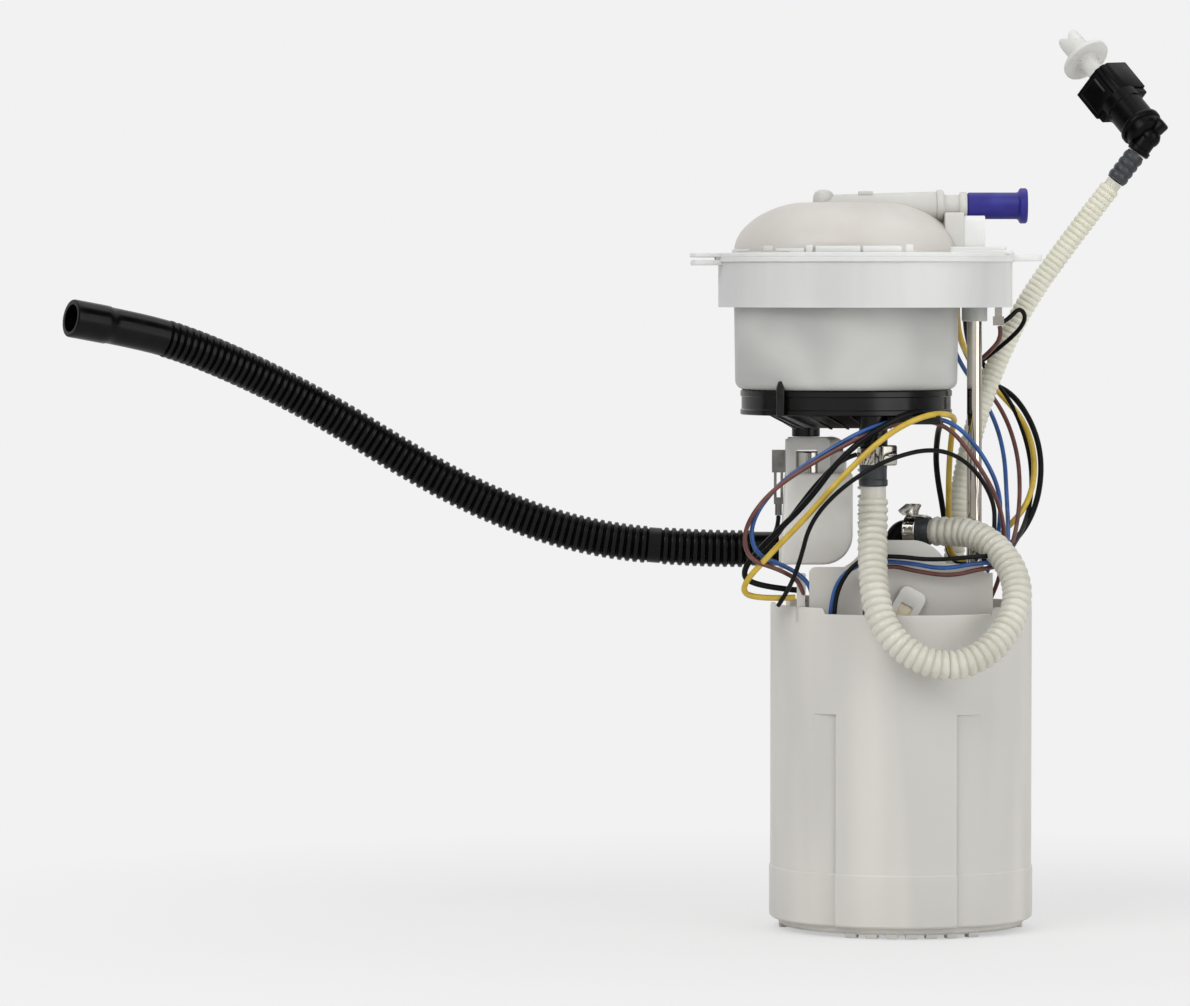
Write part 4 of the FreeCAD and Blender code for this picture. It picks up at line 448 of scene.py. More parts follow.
def makeDrainHose():
    values = drainHose
    line, length = measured(values["route"])
    # Clusters of rings between smooth stretches, as they lie from the regulator to the open end
    profile = smoothRun(0, 12, 7.6) + rings(ribbed, 12.4, 52, values)
    profile += smoothRun(52.6, 58, 7.8) + rings(ribbed, 58.4, length - 46, values)
    profile += smoothRun(length - 45.4, length - 18, 8.0)
    profile += smoothRun(length - 17.4, length - 0.8, 8.35) + [(length - 0.2, 8.2), (length, 7.7)]
    data = alongRoute(values["route"], profile + bore(length - 0.1, values["bore"]), 32)
    hose = finishPiece("drainHose", data, "flange", "drain_hose", sharp=50)


returnHose = {
    "route": [
        (40.6, 29, 121.1), (40.6, 29, 138), (41, 29.4, 160), (42.2, 30.8, 182), (46.3, 34.4, 203),
        (51.6, 40, 223), (60.1, 44.4, 247), (73.5, 45, 275), (93.5, 45, 303), (113.4, 45, 329),
    ],
    "crest": 4.7, "root": 4.1, "pitch": 2.65, "bore": 3.4, "length": 0.228, "diameter": 0.0093,
}


def makeReturnHose(fittings):
    values = returnHose
    line, length = measured(values["route"])
    profile = smoothRun(0, 8, 4.3) + rings(rounded, 8.4, length - 3.4, values)
    profile += [(length - 3, 3.6), (length, 3.6)] + bore(length, values["bore"])
    data = alongRoute(values["route"], profile, 28)
    hose = finishPiece("returnHose", data, "reservoir", "return_hose", sharp=60)


feedHose = {
    "route": [
        (1.8, -42, 195.7), (1.8, -42, 186.5), (1.4, -45.6, 175), (1.1, -52.6, 163.5), (1.4, -61.6, 150),
        (5, -69, 135.5), (17, -72.6, 123.5), (33, -73, 118.6), (49, -69.6, 124), (59.6, -61.6, 135.6),
        (64.6, -52, 149), (61.6, -41.6, 161.6), (54, -31.6, 170.6), (45, -22.6, 175),
        (36.6, -18.33, 175.2), (28.4, -14.68, 175.2),
    ],
    "crest": 6.5, "root": 5.45, "pitch": 3.5, "bore": 4.6,
}


def makeFeedHose():
    # Two pieces meet at the loop's lowest point: the stub side is left unattached, with its transform baked in, and
    # the other side stays with the pot.
    values = feedHose
    line, length = measured(values["route"])
    lowest = min(range(len(line)), key=lambda number: line[number].z)
    seam, inside = lineLength(line[:lowest + 1]), values["bore"]
    near = smoothRun(0, 4.6, 5.5) + rings(rounded, 5, seam, values)
    near += [(seam, inside)] + bore(seam - 0.1, inside)
    far = [(seam, inside)] + rings(rounded, seam, length - 1, values) + [(length, 5.3)]
    far += [(length, inside), (length - 6, inside), (length - 12, inside)]
    far += smoothRun(seam + 0.1, length - 14, inside, 6)[::-1]
    for name, profile, body in (("feedHose", near, ("reservoir", "flange", 140, 196)),
                                ("feedHoseFar", far, "reservoir")):
        finishPiece(name, alongRoute(values["route"], profile, 36), body, "feed_hose", sharp=60)


wireRuns = {
    "yellowWire": {"radius": 1.3, "node": "yellow_wire", "routes": [[
        (41, 12, 292.7), (41, 13, 276), (42.6, 26, 260), (50, 46, 248), (60.5, 56, 237), (74, 48, 222),
        (78, 34, 203), (73.5, 19, 186), (63, 15, 174.5), (50, 9, 162), (37, 3.5, 162), (37, 3, 182),
        (37, 1, 203), (37.6, -14, 220), (38, -33, 226.6), (25, -52, 227.6), (7, -58, 219), (-11, -60, 202),
        (-27.5, -55, 183), (-43, -46, 166.5), (-56, -37, 151.5), (-50, -33, 146.2), (-31.6, -31.8, 147),
    ]]},
    "blackWire": {"radius": 1.3, "node": "black_wire", "routes": [[
        (45.4, 18, 292.7), (45.4, 19, 277), (46, 32, 264), (50, 47, 251), (57, 60, 240), (71, 57, 233),
        (80.8, 43, 212), (79, 24, 189), (69, 11, 170.5), (52, 8.6, 160.5), (37.6, 8.4, 160), (35.6, 7.6, 180),
        (31.2, 4, 203), (31.4, -9, 218), (32.4, -25, 224), (27.5, -38, 227), (18, -46.8, 228),
        (3, -54, 221), (-13, -55, 208.5), (-27, -50, 189), (-43, -40, 173), (-55.6, -32, 158.5),
        (-50, -29, 151.8), (-30.6, -28.2, 150),
    ]]},
    "blueWires": {"radius": 1.0, "node": "blue_wires", "routes": [[
        (34, 33, 292.7), (35, 35, 272), (43, 45, 250), (53, 49, 236), (60.5, 46, 222), (64, 38, 207),
        (64, 24, 190), (63.6, 6, 176), (62, -12, 166), (58, -30, 162), (47, -39.6, 162.4), (32, -40, 159.6),
        (18, -40, 162.4), (0, -40.4, 163.6), (-13, -39.6, 157), (-17.3, -39, 141), (-17.3, -39, 121.3),
    ], [
        (-24.5, -31.8, 148.6), (-25.5, -33, 154), (-36, -37, 161), (-49.5, -43, 166), (-52, -47.4, 180),
        (-40, -49, 197), (-20, -50.4, 210.5), (0, -50.8, 222), (20, -43, 226), (37, -30.6, 224),
        (50, -23, 210), (58.5, -19.4, 193), (58.6, -12, 176), (56.6, 0, 163), (52, 11.6, 150), (45, 15.6, 136),
        (42, 15, 121.3),
    ]]},
    "brownWires": {"radius": 1.0, "node": "brown_wires", "routes": [[
        (38, 29, 292.7), (39, 31, 274), (45, 48, 256), (54, 53, 240), (64.5, 48, 226), (70, 38, 208),
        (70, 22, 190), (67, 4, 175), (62.5, -13, 164), (58.5, -29, 160.6), (48, -38.6, 159.6),
        (36, -38.4, 156.6), (22, -38.4, 158.4), (8, -38.6, 161.8), (-1, -38.6, 156), (-2, -38.6, 134),
        (-2, -38.6, 121.3),
    ], [
        (-27.6, -31.8, 145.2), (-28.5, -34, 153.5), (-38.5, -41, 159.5), (-52.5, -46, 164), (-55, -49, 177),
        (-44, -51, 193.5), (-22, -52.5, 208), (0, -52.6, 219.5), (19, -45.6, 225), (35, -33.6, 222),
        (47.5, -27, 206), (57, -23, 190), (61, -14, 174), (60.4, 0, 157), (56, 12, 143), (49, 17, 132),
        (46, 17.4, 121.3),
    ], [(58.6, -9, 264.9), (59.4, -8.4, 260.6), (56.6, -5.6, 255.6), (51.6, -1, 250.8)]]},
    "thinBlackWires": {"radius": 1.0, "node": "thin_black_wires", "routes": [[
        (42, 25, 292.7), (44, 28, 276), (50, 43, 260), (57, 56, 243), (68, 52, 231), (75.4, 42, 210),
        (75.8, 28, 190), (71, 12, 176), (64, -8, 167), (60, -28, 164.6), (50, -41, 165.6), (28, -43.4, 163.6),
        (11, -43.4, 165.6), (-4, -43, 165), (-13.4, -42.4, 153), (-15.5, -42, 138), (-15.5, -42, 121.3),
    ], [
        (-39, -32, 143.5), (-34, -40, 152), (-30, -48.6, 164), (-26, -56, 181), (-13, -63, 196),
        (6, -64, 208), (28, -50, 213), (44, -36, 206), (55, -29, 190), (55.5, -27, 176), (54.6, -27, 170),
    ], [
        (-5.6, -44.4, 209.6), (-12.5, -46.4, 207.5), (-23, -45, 197), (-34, -38, 182), (-44, -28, 168),
    ], [(-37.55, 16, 180.5), (-37.8, 13.6, 176.4), (-40.6, 8, 171.4), (-43, 2, 167)], [
        (59.6, -9, 266.5), (62.5, -9, 268), (67.5, -8, 273.4), (71, -4, 268), (64.5, 4, 259), (53, 12, 250),
    ]]},
}


def makeWires():
    for name, values in wireRuns.items():
        mesh = bmesh.new()
        for route in values["routes"]:
            wire = routeCurve(route, values["radius"] * millimetre)
            data = bpy.data.meshes.new_from_object(wire)
            mesh.from_mesh(data)
            bpy.data.meshes.remove(data)
            bpy.data.objects.remove(wire)
        data = toData(name, settle(mesh))
        finishPiece(name, data, ("reservoir", "flange", 150, 240), values["node"], sharp=60)


makeDrainHose()
makeFeedHose()
makeWires()
print("hoses and wires laid")


# Quick connector at the end of the return hose

connector = {
    "spot": (128.6, 45, 349.2), "tilt": -39.5, "turn": 36.4, "armTurn": 255, "barrel": 8.6, "headStart": 24,
    "headEnd": 41, "headTwist": 10.4, "arm": 5.3, "shank": 4, "plugDisc": 11.2, "plugLow": 52.5,
    "discThickness": 1.8, "plugGrip": 5.4, "plugEnd": 69.3,
    # Corners of the six-sided head: two wide faces with a narrow flat between them
    "head": [(-13.3, 0), (0, 7.7), (5.9, 6.7), (13.3, -1.8), (0, -9.5), (-5.9, -8.5)],
    "ridges": [(2.95, 7.2), (-2.95, -9)], "ridgeLean": 9.6, "foot": 0.93, "notch": 3.1,
    "cuff": [(113.7, 45, 329.4), (118.2, 45, 335.3), (122.9, 45, 341.5)],
    "cuffRings": {"pitch": 3.6, "crest": 4.75, "root": 4.2},
}


def atConnector(mesh):
    # The connector is made upright at the origin, leaned with the hose's end, and turned about its arm.
    turn(mesh, connector["tilt"], "Y")
    hoseLine = Matrix.Rotation(math.radians(connector["tilt"] + connector["armTurn"]), 3, "Y") @ Vector((0, 0, 1))
    turn(mesh, connector["turn"], hoseLine)
    return shift(mesh, *connector["spot"])


def makeHead():
    values = connector
    low, high, head = values["headStart"], values["headEnd"], values["head"]
    lean = math.radians(values["headTwist"])

    def onHead(u, v):
        return u * math.cos(lean) + v * math.sin(lean), u * math.sin(lean) - v * math.cos(lean)

    corners = [onHead(u, v) for u, v in head]
    mesh = flatPlate(corners, low, high)
    # A shallow window in the left face
    spot = Vector((*onHead((head[0][0] + head[1][0]) / 2, (head[0][1] + head[1][1]) / 2), (low + high) / 2))
    side = min(mesh.faces, key=lambda face: (face.calc_center_median() - spot).length)
    bmesh.ops.inset_region(mesh, faces=[side], thickness=2.4, depth=0)
    bmesh.ops.inset_region(mesh, faces=[side], thickness=0.3, depth=-0.7)
    soften(mesh, 0.5, 24, 2)
    foot = flatPlate([(x * values["foot"], y * values["foot"]) for x, y in corners], low - 3.4, low + 0.5)
    join(mesh, soften(foot, 0.6, 24, 2))
    # A long ridge on each narrow flat
    for u, v in values["ridges"]:
        bar = soften(block((-1.2, -0.6, low + 0.6), (1.2, 0.6, high - 0.1)), 0.3)
        turn(bar, values["headTwist"] + values["ridgeLean"], "Z")
        join(mesh, shift(bar, *onHead(u, v)))
    return mesh


def makeConnector():
    values = connector
    radius, low, high = values["barrel"], values["headStart"], values["headEnd"]
    barrel = turned([(0, -5.4), (1.6, -5.2), (3.1, -4.4), (4.2, -3.1), (4.7, -1.6), (4.8, 0), (7.4, 0.5),
                     (8.3, 1.2), (radius, 2.2), (radius, 5), (radius + 0.9, 5.4), (radius + 1.2, 5.9),
                     (radius + 1.2, 7.5), (radius + 0.9, 8), (radius + 0.1, 8.4), (radius, 11), (radius, low - 5),
                     (radius + 0.5, low - 4.4), (radius + 0.5, low + 0.2), (0, low + 0.2)], 56)
    lug = soften(block((3, -3, -2.4), (9.3, 3, 3.6)), 1.3, 30, 3)
    arm = turned([(0, 0), (4.6, 0), (4.6, 6.2), (values["arm"], 6.6), (values["arm"], 8.4), (4.8, 9), (0, 9)], 40)
    turn(arm, values["armTurn"], "Y")
    join(barrel, makeHead(), arm, lug)
    body = makePiece("quickConnector", atConnector(barrel), "reservoir", "quick_connector")

    ring = soften(turned(box(4.3, high - 11, 6, high + 0.6), 40, True), 0.3)
    retainer = makePiece("connectorRetainer", atConnector(ring), "reservoir", "connector_retainer")

    start, disc, grip, end = values["plugLow"], values["plugDisc"], values["plugGrip"], values["plugEnd"]
    shank, back, notch = values["shank"], start + values["discThickness"], values["notch"]
    plugShape = turned([(0, 24), (shank - 0.6, 24), (shank, 24.8), (shank, 34), (shank + 0.25, 34.4),
                        (shank + 0.25, 36), (shank, 36.4), (shank, start - 0.9), (shank + 0.9, start),
                        (disc - 0.3, start), (disc, start + 0.3), (disc, back - 0.3), (disc - 0.3, back),
                        (grip + 1, back), (grip + 0.1, back + 0.9), (grip, end - 3), (grip - 0.5, end - 0.6),
                        (grip - 1.1, end), (grip - 2, end), (grip - 2, back + 3), (0, back + 3)], 56)
    # V notch across the open end of the grip
    for vertex in plugShape.verts:
        if vertex.co.z > end - 3.2 and abs(vertex.co.x) < notch:
            vertex.co.z -= (notch - abs(vertex.co.x)) * 1.15
    plug = makePiece("transportPlug", atConnector(plugShape), "connector_plug", "transport_plug", "plugPlastic")

    length = measured(values["cuff"])[1]
    profile = [(0, 3.9), (0.2, 4.3)] + rings(rounded, 0.6, length - 0.8, values["cuffRings"])
    profile += [(length - 0.4, 4.2), (length, 3.9)] + bore(length, 3.45)
    cuff = finishPiece("returnHoseCuff", alongRoute(values["cuff"], profile, 32), "reservoir", "return_hose_cuff",
                       sharp=50)
    return [body, retainer, plug, cuff]


makeReturnHose(makeConnector())


# Flange lid: rim, skirt, tabs, dome, outlet channel and socket

lid = {
    "rim": 65.6, "skirt": 64.6, "skirtWall": 2.2, "skirtLow": 273.2, "rimLow": 293, "rimTop": 297,
    "tabReach": 77, "tabHalf": 15, "domeX": -9, "domeY": -7, "dome": 48.8, "domeFlat": 19.5, "domeTop": 319,
    "domeSteps": 18, "domeBulge": 1.25, "channelX": -18.6, "channelHeight": 317.6, "channelY": -7, "channel": 6.4,
    "riserX": 30.8, "nozzleX": 44,
}


def makeLidPiece(name, mesh, finish=None, sharp=32, replaced=False):
    makePiece(name, mesh, "flange", "flange_lid", finish, sharp, replaced)


def makeRim():
    values = lid
    rim, skirt, low, top = values["rim"], values["skirt"], values["rimLow"], values["rimTop"]
    inner = skirt - values["skirtWall"]
    profile = [(0, low), (inner, low), (rim - 0.3, low), (rim, low + 0.3), (rim, 294.7), (rim - 0.2, 294.9),
               (rim - 0.2, 295.2), (rim, 295.4), (rim, top - 0.3), (rim - 0.3, top), (0, top)]
    makeLidPiece("lidRim", turned(profile, 144), sharp=30, replaced=True)
    profile = [(inner, low + 0.4), (inner, values["skirtLow"]), (skirt, values["skirtLow"]), (skirt, low + 0.4),
               (inner, low + 0.4)]
    makeLidPiece("lidSkirt", turned(profile, 144), "skirtPlastic", 30, True)
    # The right tab, the left one and the second one below it
    reach, half = values["tabReach"], values["tabHalf"]
    tabs = flatPlate(box(60, -half, reach, half), 293.4, 296.4, 4.5)
    for end, lower, upper in ((-reach, 295.1, 297), (-reach + 0.4, 291.6, 293.9)):
        join(tabs, flatPlate([(-60, half), (end, half), (end, -half), (-60, -half)], lower, upper, 4.5))
    join(tabs, block((-66, -half + 1, 293), (-62, half - 1, 296)))
    makeLidPiece("lidTabs", soften(tabs, 0.35))


def makeDome():
    values = lid
    foot, flat, top, steps = values["dome"], values["domeFlat"], values["domeTop"], values["domeSteps"]
    base, rise, run = values["rimTop"], top - values["rimTop"], foot - flat
    profile = [(foot + 0.9, base - 0.2), (foot + 0.9, base + 0.6)]
    for step in range(steps + 1):
        lean = math.radians(90 * step / steps)
        profile.append((flat + run * max(0, math.cos(lean)) ** values["domeBulge"],
                        base + 0.8 + (rise - 0.8) * math.sin(lean)))
    profile += [(flat * 0.5, top + 0.15), (0, top + 0.2)]
    makeLidPiece("lidDome", turned(profile, 120, centre=(values["domeX"], values["domeY"])), "domePlastic", 40)


def makeChannel():
    values = lid
    x, y, height, radius = values["channelX"], values["channelY"], values["channelHeight"], values["channel"]
    boss = turned([(0, 300), (4.7, 300), (4.7, 320), (4.5, 322.2), (3.7, 323.7), (2.1, 324.5), (0, 324.7)], 48,
                  centre=(x, y))
    join(boss, sideways([(0, 0), (radius - 1.6, 0), (radius - 1.2, 1), (radius + 0.2, 48.6), (radius + 0.2, 49.4),
                         (0, 49.4)], x, y, height - 0.4))
    # Ring on the riser, the neck, and the bead that the cap stops on
    join(boss, sideways([(0, 0), (6.7, 0), (7, 0.4), (7, 2.6), (6.6, 3), (4.9, 3.7), (4.8, 10), (5.7, 10.2),
                         (6.1, 10.8), (6.1, 12.8), (5.7, 13.4), (0, 13.4)], values["riserX"], y, height))
    # Nozzle under the cap
    join(boss, sideways([(2.6, 0), (4, 0), (4, 16.6), (3.4, 18), (2.6, 18), (2.6, 0)], values["nozzleX"], y,
                        height, 32))
    # Web under the channel, the small pad on top of it, and the riser's foot
    web = slab([(24, 297), (41.5, 297), (41.5, 313), (31, 314), (20, 316), (14, 317)], y - 1.6, y + 1.6)
    join(boss, web, soften(block((-3.4, y - 2.4, 321.8), (3, y + 2.4, 324.1)), 0.4),
         soften(block((34, -20.6, 297), (42.3, -7, 314.6)), 0.6))
    makeLidPiece("lidChannel", soften(boss, 0.3, 50, 2), "channelPlastic", 35)


socket = {"x": 36.5, "length": 15, "width": 24, "y": -8, "height": 16.2, "wall": 2.2, "plateLeft": 34,
          "plateX": 60.7, "plate": 2.6}


def makeSocket():
    values = socket
    y, half, wall, base = values["y"], values["width"] / 2, values["wall"], lid["rimTop"]
    top, left, plateLeft = base + values["height"], values["x"], values["plateLeft"]
    # Open on the right, where the plug goes in
    shell = ringSlab(box(y - half, base, y + half, top),
                     box(y - half + wall, base + 3, y + half - wall, top - wall), 0, values["length"], 2.6, 1.4)
    shift(turn(shell, -90, "Z"), left)
    bmesh.ops.scale(shell, verts=shell.verts[:], vec=(1, -1, 1))
    bmesh.ops.recalc_face_normals(shell, faces=shell.faces[:])
    back = block((left, y - half + 1, 298), (left + 3.5, y + half - 1, top - 1))
    plate = flatPlate(box(plateLeft, y - 18, values["plateX"], y + 18), 296.6, base + values["plate"], 2.5)
    lower = flatPlate(box(plateLeft, y - 20, 63.4, y + 20), 296.4, 298.2, 3)
    makeLidPiece("lidSocket", soften(join(shell, back, plate, lower), 0.35))


makeRim()
makeDome()
makeChannel()
makeSocket()


# Low ribs and nubs on the rim, round the foot of the dome

# Each span: its first and last bearing in degrees, and how far it rises
nubs = {"radius": 60.5, "width": 2.2, "spans": [
    (-167, -149, 1.6), (-139.5, -134.5, 3), (-132.5, -118.5, 1.8), (-117.5, -114.7, 3.2), (-113.3, -94.5, 2.8),
    (-93.4, -77.4, 2.8), (-75.5, -72.4, 3.4)]}


def makeNubs():
    mesh = bmesh.new()
    outer, base = nubs["radius"], lid["rimTop"]
    for first, last, rise in nubs["spans"]:
        part = bmesh.new()
        points = [part.verts.new((x, 0, height))
                  for x, height in box(outer - nubs["width"], base - 0.2, outer, base + rise)]
        face = part.faces.new(points)
        turn(part, first, "Z")
        bmesh.ops.spin(part, geom=[face] + list(face.edges) + points, cent=(0, 0, 0), axis=(0, 0, 1),
                       angle=math.radians(last - first), steps=max(2, int((last - first) / 2)),
                       use_merge=False, use_duplicate=False)
        join(mesh, settle(part))
    makeLidPiece("lidNubs", soften(mesh, 0.35))


makeNubs()


# Blue cap on the outlet nozzle

portCap = {"start": 44.5, "y": -7, "height": 317.6, "length": 22.5, "radius": 5.85, "flange": 7.75,
           "thickness": 3.6, "bore": 4.25}


def makePortCap():
    values = portCap
    end, edge = values["length"], values["length"] + values["thickness"]
    radius, flange, inner = values["radius"], values["flange"], values["bore"]
    profile = [(inner, 0), (radius - 0.4, 0), (radius, 0.5), (radius, end - 1.2), (radius + 0.3, end - 0.4),
               (flange - 0.7, end), (flange, end + 0.6), (flange, edge - 0.7), (flange - 0.6, edge), (0, edge),
               (0, edge - 1.8), (inner, edge - 1.8)]
    cap = sideways(profile, values["start"], values["y"], values["height"], 56)
    makePiece("portCap", cap, "nozzle_cap", "port_cap")


makePortCap()


# Filter bowl

bowl = {"x": -8.6, "y": -7, "top": 49.5, "bottom": 48.7, "low": 237.2, "high": 292.9, "wall": 2.2, "corner": 4,
        "opening": 40}


def makeBowl():
    values = bowl
    low, high, wall, corner = values["low"], values["high"], values["wall"], values["corner"]
    bottom, top = values["bottom"], values["top"]
    profile = arc((bottom - corner, low + corner), (corner, corner), -90, 0, 6)
    profile += [(bottom + (top - bottom) * k / 8, low + corner + (high - low - corner) * k / 8)
                for k in range(1, 9)]
    profile += [(top - wall, high), (bottom - wall, low + corner), (bottom - corner - 0.4, low + wall),
                (values["opening"], low + wall), (values["opening"], low)]
    makePiece("filterBowl", turned(profile, 128, True, (values["x"], values["y"])), "flange", "filter_bowl",
              sharp=40)


makeBowl()


# Black base of the filter: ring, ribbed cone and the two hose stubs

filterBase = {"x": -8.6, "y": -7, "radius": 46.4, "top": 237.1, "low": 226.2, "cone": 33, "tip": 24.4,
              "coneLow": 220.6, "ribs": 20, "ribHalf": 0.45, "ribSteps": 6, "ribTurn": -3.4, "latchX": -38.6,
              "stubs": ((-25.5, 14, 216), (1.8, -42, 212.6))}


def makeRib():
    # A thin blade that slants and curves down the cone
    values = filterBase
    low, cone, tip, coneLow = values["low"], values["cone"], values["tip"], values["coneLow"]
    half, steps = values["ribHalf"], values["ribSteps"]
    mesh = bmesh.new()
    mesh.faces.new([mesh.verts.new((tip - 1, y, height))
                    for y, height in box(-half, coneLow - 0.6, half, coneLow + 2)])
    face = mesh.faces[:]
    for step in range(steps):
        ends, made = pushed(mesh, face, (cone - tip + 2.4) / steps, 0, (low - coneLow + 0.4) / steps)
        bmesh.ops.rotate(mesh, verts=ends, cent=(0, 0, 0),
                         matrix=Matrix.Rotation(math.radians(values["ribTurn"]), 3, "Z"))
        bmesh.ops.delete(mesh, geom=face if step else [], context="FACES_ONLY")
        face = made
    return mesh


def makeFilterBase():
    values = filterBase
    x, y, radius = values["x"], values["y"], values["radius"]
    low, top, cone, tip, coneLow = values["low"], values["top"], values["cone"], values["tip"], values["coneLow"]
    base = turned([(0, coneLow), (tip - 0.6, coneLow), (tip, coneLow + 0.4), (cone - 0.4, low - 0.2),
                   (cone, low + 0.3), (cone + 0.2, low + 1.4), (radius - 2.4, low + 1.4), (radius - 2, low),
                   (radius - 0.4, low), (radius, low + 0.4), (radius, low + 2.2), (radius - 0.5, low + 2.6),
                   (radius - 0.5, top - 3), (radius, top - 2.6), (radius, top - 0.5), (radius - 0.4, top),
                   (0, top)], 128)
    for rib in range(values["ribs"]):
        join(base, settle(turn(makeRib(), rib * 360 / values["ribs"], "Z")))
    shift(base, x, y)
    near = values["latchX"]
    wall = math.sqrt(radius ** 2 - (near - x) ** 2)
    latchPlate = slab([(near - 1.7, low), (near + 1.7, low), (near + 1.7, top + 1.2), (near + 0.9, top + 4.2),
                       (near - 0.9, top + 4.2), (near - 1.7, top + 1.2)], y - wall - 3.6, y - wall + 0.6)
    join(base, soften(latchPlate, 0.4))
    # A square lug beside the feed stub
    join(base, soften(block((8.8, -47.6, 222.6), (30.8, -36, 226.4)), 0.5))
    # Stubs: a shoulder with dark rings, and the barb that the hose goes on
    for stubX, stubY, end in values["stubs"]:
        join(base, turned([(0, end), (5.9, end), (6.2, end + 0.4), (6.2, end + 3.6), (6.6, end + 3.9),
                           (6.6, end + 5.4), (6.2, end + 5.7), (6.2, 230), (0, 230)], 40, centre=(stubX, stubY)))
    join(base, turned([(3, 198), (4.2, 198), (4.6, 199.6), (4.3, 201), (4.3, 213), (3, 213), (3, 198)], 32,
                      centre=values["stubs"][1][:2]))
    makePiece("filterBase", base, "flange", "filter_base", "glossBlack")


makeFilterBase()


# Pressure regulator: white housing, strap with its window, polished can, relief cap

regulator = {
    "y": 17, "left": -36.9, "topLeft": -34.5, "right": -5, "strapRight": -15, "bottom": 159.5,
    "shoulder": 200, "top": 215.8, "half": 11, "front": 7, "depth": 10, "corner": 13,
    "window": (-29.8, 198.9, -20.5, 210.1), "spigot": 166.1, "can": (-25, 17.4), "tower": (-14.1, 25),
}


def makeRegulator():
    values = regulator
    y, low, shoulder, top = values["y"], values["bottom"], values["shoulder"], values["top"]
    left, right, corner, spigotHeight = values["left"], values["right"], values["corner"], values["spigot"]
    outline = [(left, low), (right - corner, low)]
    outline += arc((right - corner, low + corner), (corner, corner), -90, 0, 8)[1:-1]
    outline += [(right, low + corner), (right, shoulder), (values["topLeft"], shoulder)]
    housing = soften(slab(outline, y - values["half"], y + values["half"]), 1.4, 40, 4)
    near = y - values["front"]
    far = near + values["depth"]
    start, end, foot = values["topLeft"], values["strapRight"], shoulder - 2
    strap = ringSlab(box(start, foot, end, top), box(*values["window"]), near, near + 4, 3.2, 0.8)
    sides = block((start, near + 1, foot), (start + 2.6, far, top - 1))
    other = block((end - 2.6, near + 1, foot), (end, far, top - 1))
    roof = block((start + 1, near + 1, top - 2.6), (end - 1, far, top - 0.1))
    join(housing, soften(strap, 0.45), soften(sides, 0.4), soften(other, 0.4), soften(roof, 0.4))
    tower = turned([(0, 190), (7, 190), (7, 208.2), (6.6, 209.2), (0, 209.4)], 40, centre=values["tower"])
    spigot = sideways([(0, 0), (6.1, 0), (6.1, 12.5), (0, 12.5)], left - 12, y, spigotHeight, 40)
    ring = sideways([(0, 0), (8.6, 0), (9, 0.5), (9, 3), (8.6, 3.4), (0, 3.4)], left - 0.6, y, spigotHeight)
    join(housing, tower, spigot, ring)
    makePiece("regulatorHousing", housing, "flange", "regulator_housing")

    can = turned([(0, 187), (6.9, 187), (7.5, 187.7), (7.5, 196.4), (8, 196.8), (8, 198), (7.5, 198.4),
                  (7.5, 208.8), (6.9, 209.6), (0, 209.6)], 64, centre=values["can"])
    makePiece("regulatorCan", can, "flange", "regulator_can")

    cap = [(0, 210.3), (5.2, 210.3), (5.4, 210.8), (5.4, 212.6)] + arc((0, 212.6), (5.4, 3.1), 0, 90, 8)[1:]
    makePiece("reliefCap", turned(cap, 48, centre=values["tower"]), "flange", "relief_valve_cap")


makeRegulator()


# Feed hose cuff and its worm clamp

wormClamp = {"x": 1.8, "y": -42, "cuffTop": 212.5, "cuffLow": 195.8, "bandLow": 205.2, "bandTop": 212.2,
             "bandInner": 6.08, "band": 6.9, "slots": 26, "slotLean": 22, "screwTurn": 32}


def makeWormClamp():
    values = wormClamp
    centre, cuffLow = (values["x"], values["y"]), values["cuffLow"]
    cuff = turned([(4.5, cuffLow), (5.9, cuffLow), (6.3, cuffLow + 0.5), (6.3, 198.4), (5.9, 199), (5.9, 203),
                   (6.05, 204), (6.05, 212), (5.6, values["cuffTop"]), (4.5, values["cuffTop"])], 48, True, centre)
    makePiece("feedHoseCuff", cuff, "flange", "feed_hose_cuff")

    low, top, radius, inner = values["bandLow"], values["bandTop"], values["band"], values["bandInner"]
    band = turned([(inner, low), (radius - 0.1, low), (radius, low + 0.3), (radius, top - 0.3), (radius - 0.1, top),
                   (inner, top)], 64, True)
    for slot in range(values["slots"]):
        mark = block((radius - 0.25, -0.32, low + 1.6), (radius + 0.22, 0.32, top - 1.6))
        turn(mark, values["slotLean"], "X", (0, 0, (low + top) / 2))
        join(band, turn(mark, slot * 360 / values["slots"], "Z"))
    makePiece("wormClampBand", shift(band, *centre), "flange", "worm_clamp_band")

    # Housing over the screw, to the right and in front of the band
    housing = soften(block((-4, -3.6, 204.2), (4, 3.2, 213)), 0.9, 35, 3)
    screw = turned([(0, -6.6), (2.2, -6.6), (2.6, -6), (3.6, -5.4), (3.9, -5), (3.9, -3.8), (0, -3.8)], 32)
    shift(turn(screw, 90, "X"), 0, 0, 208.6)
    join(housing, screw, soften(block((-3, -7, 208.1), (3, -6.4, 209.1)), 0.1))
    turn(shift(housing, 0, -radius - 2.4), values["screwTurn"], "Z")
    makePiece("wormClampScrew", shift(housing, *centre, 0.8), "flange", "worm_clamp_screw")


makeWormClamp()


# Guide rods, their bosses on the lid, and the spring

rods = {"radius": 3.3, "low": 113, "high": 289, "places": [("guideRodFront", "guide_rod_front", 47.5, -10),
                                                         ("guideRodRear", "guide_rod_rear", 4.5, 47.5)]}


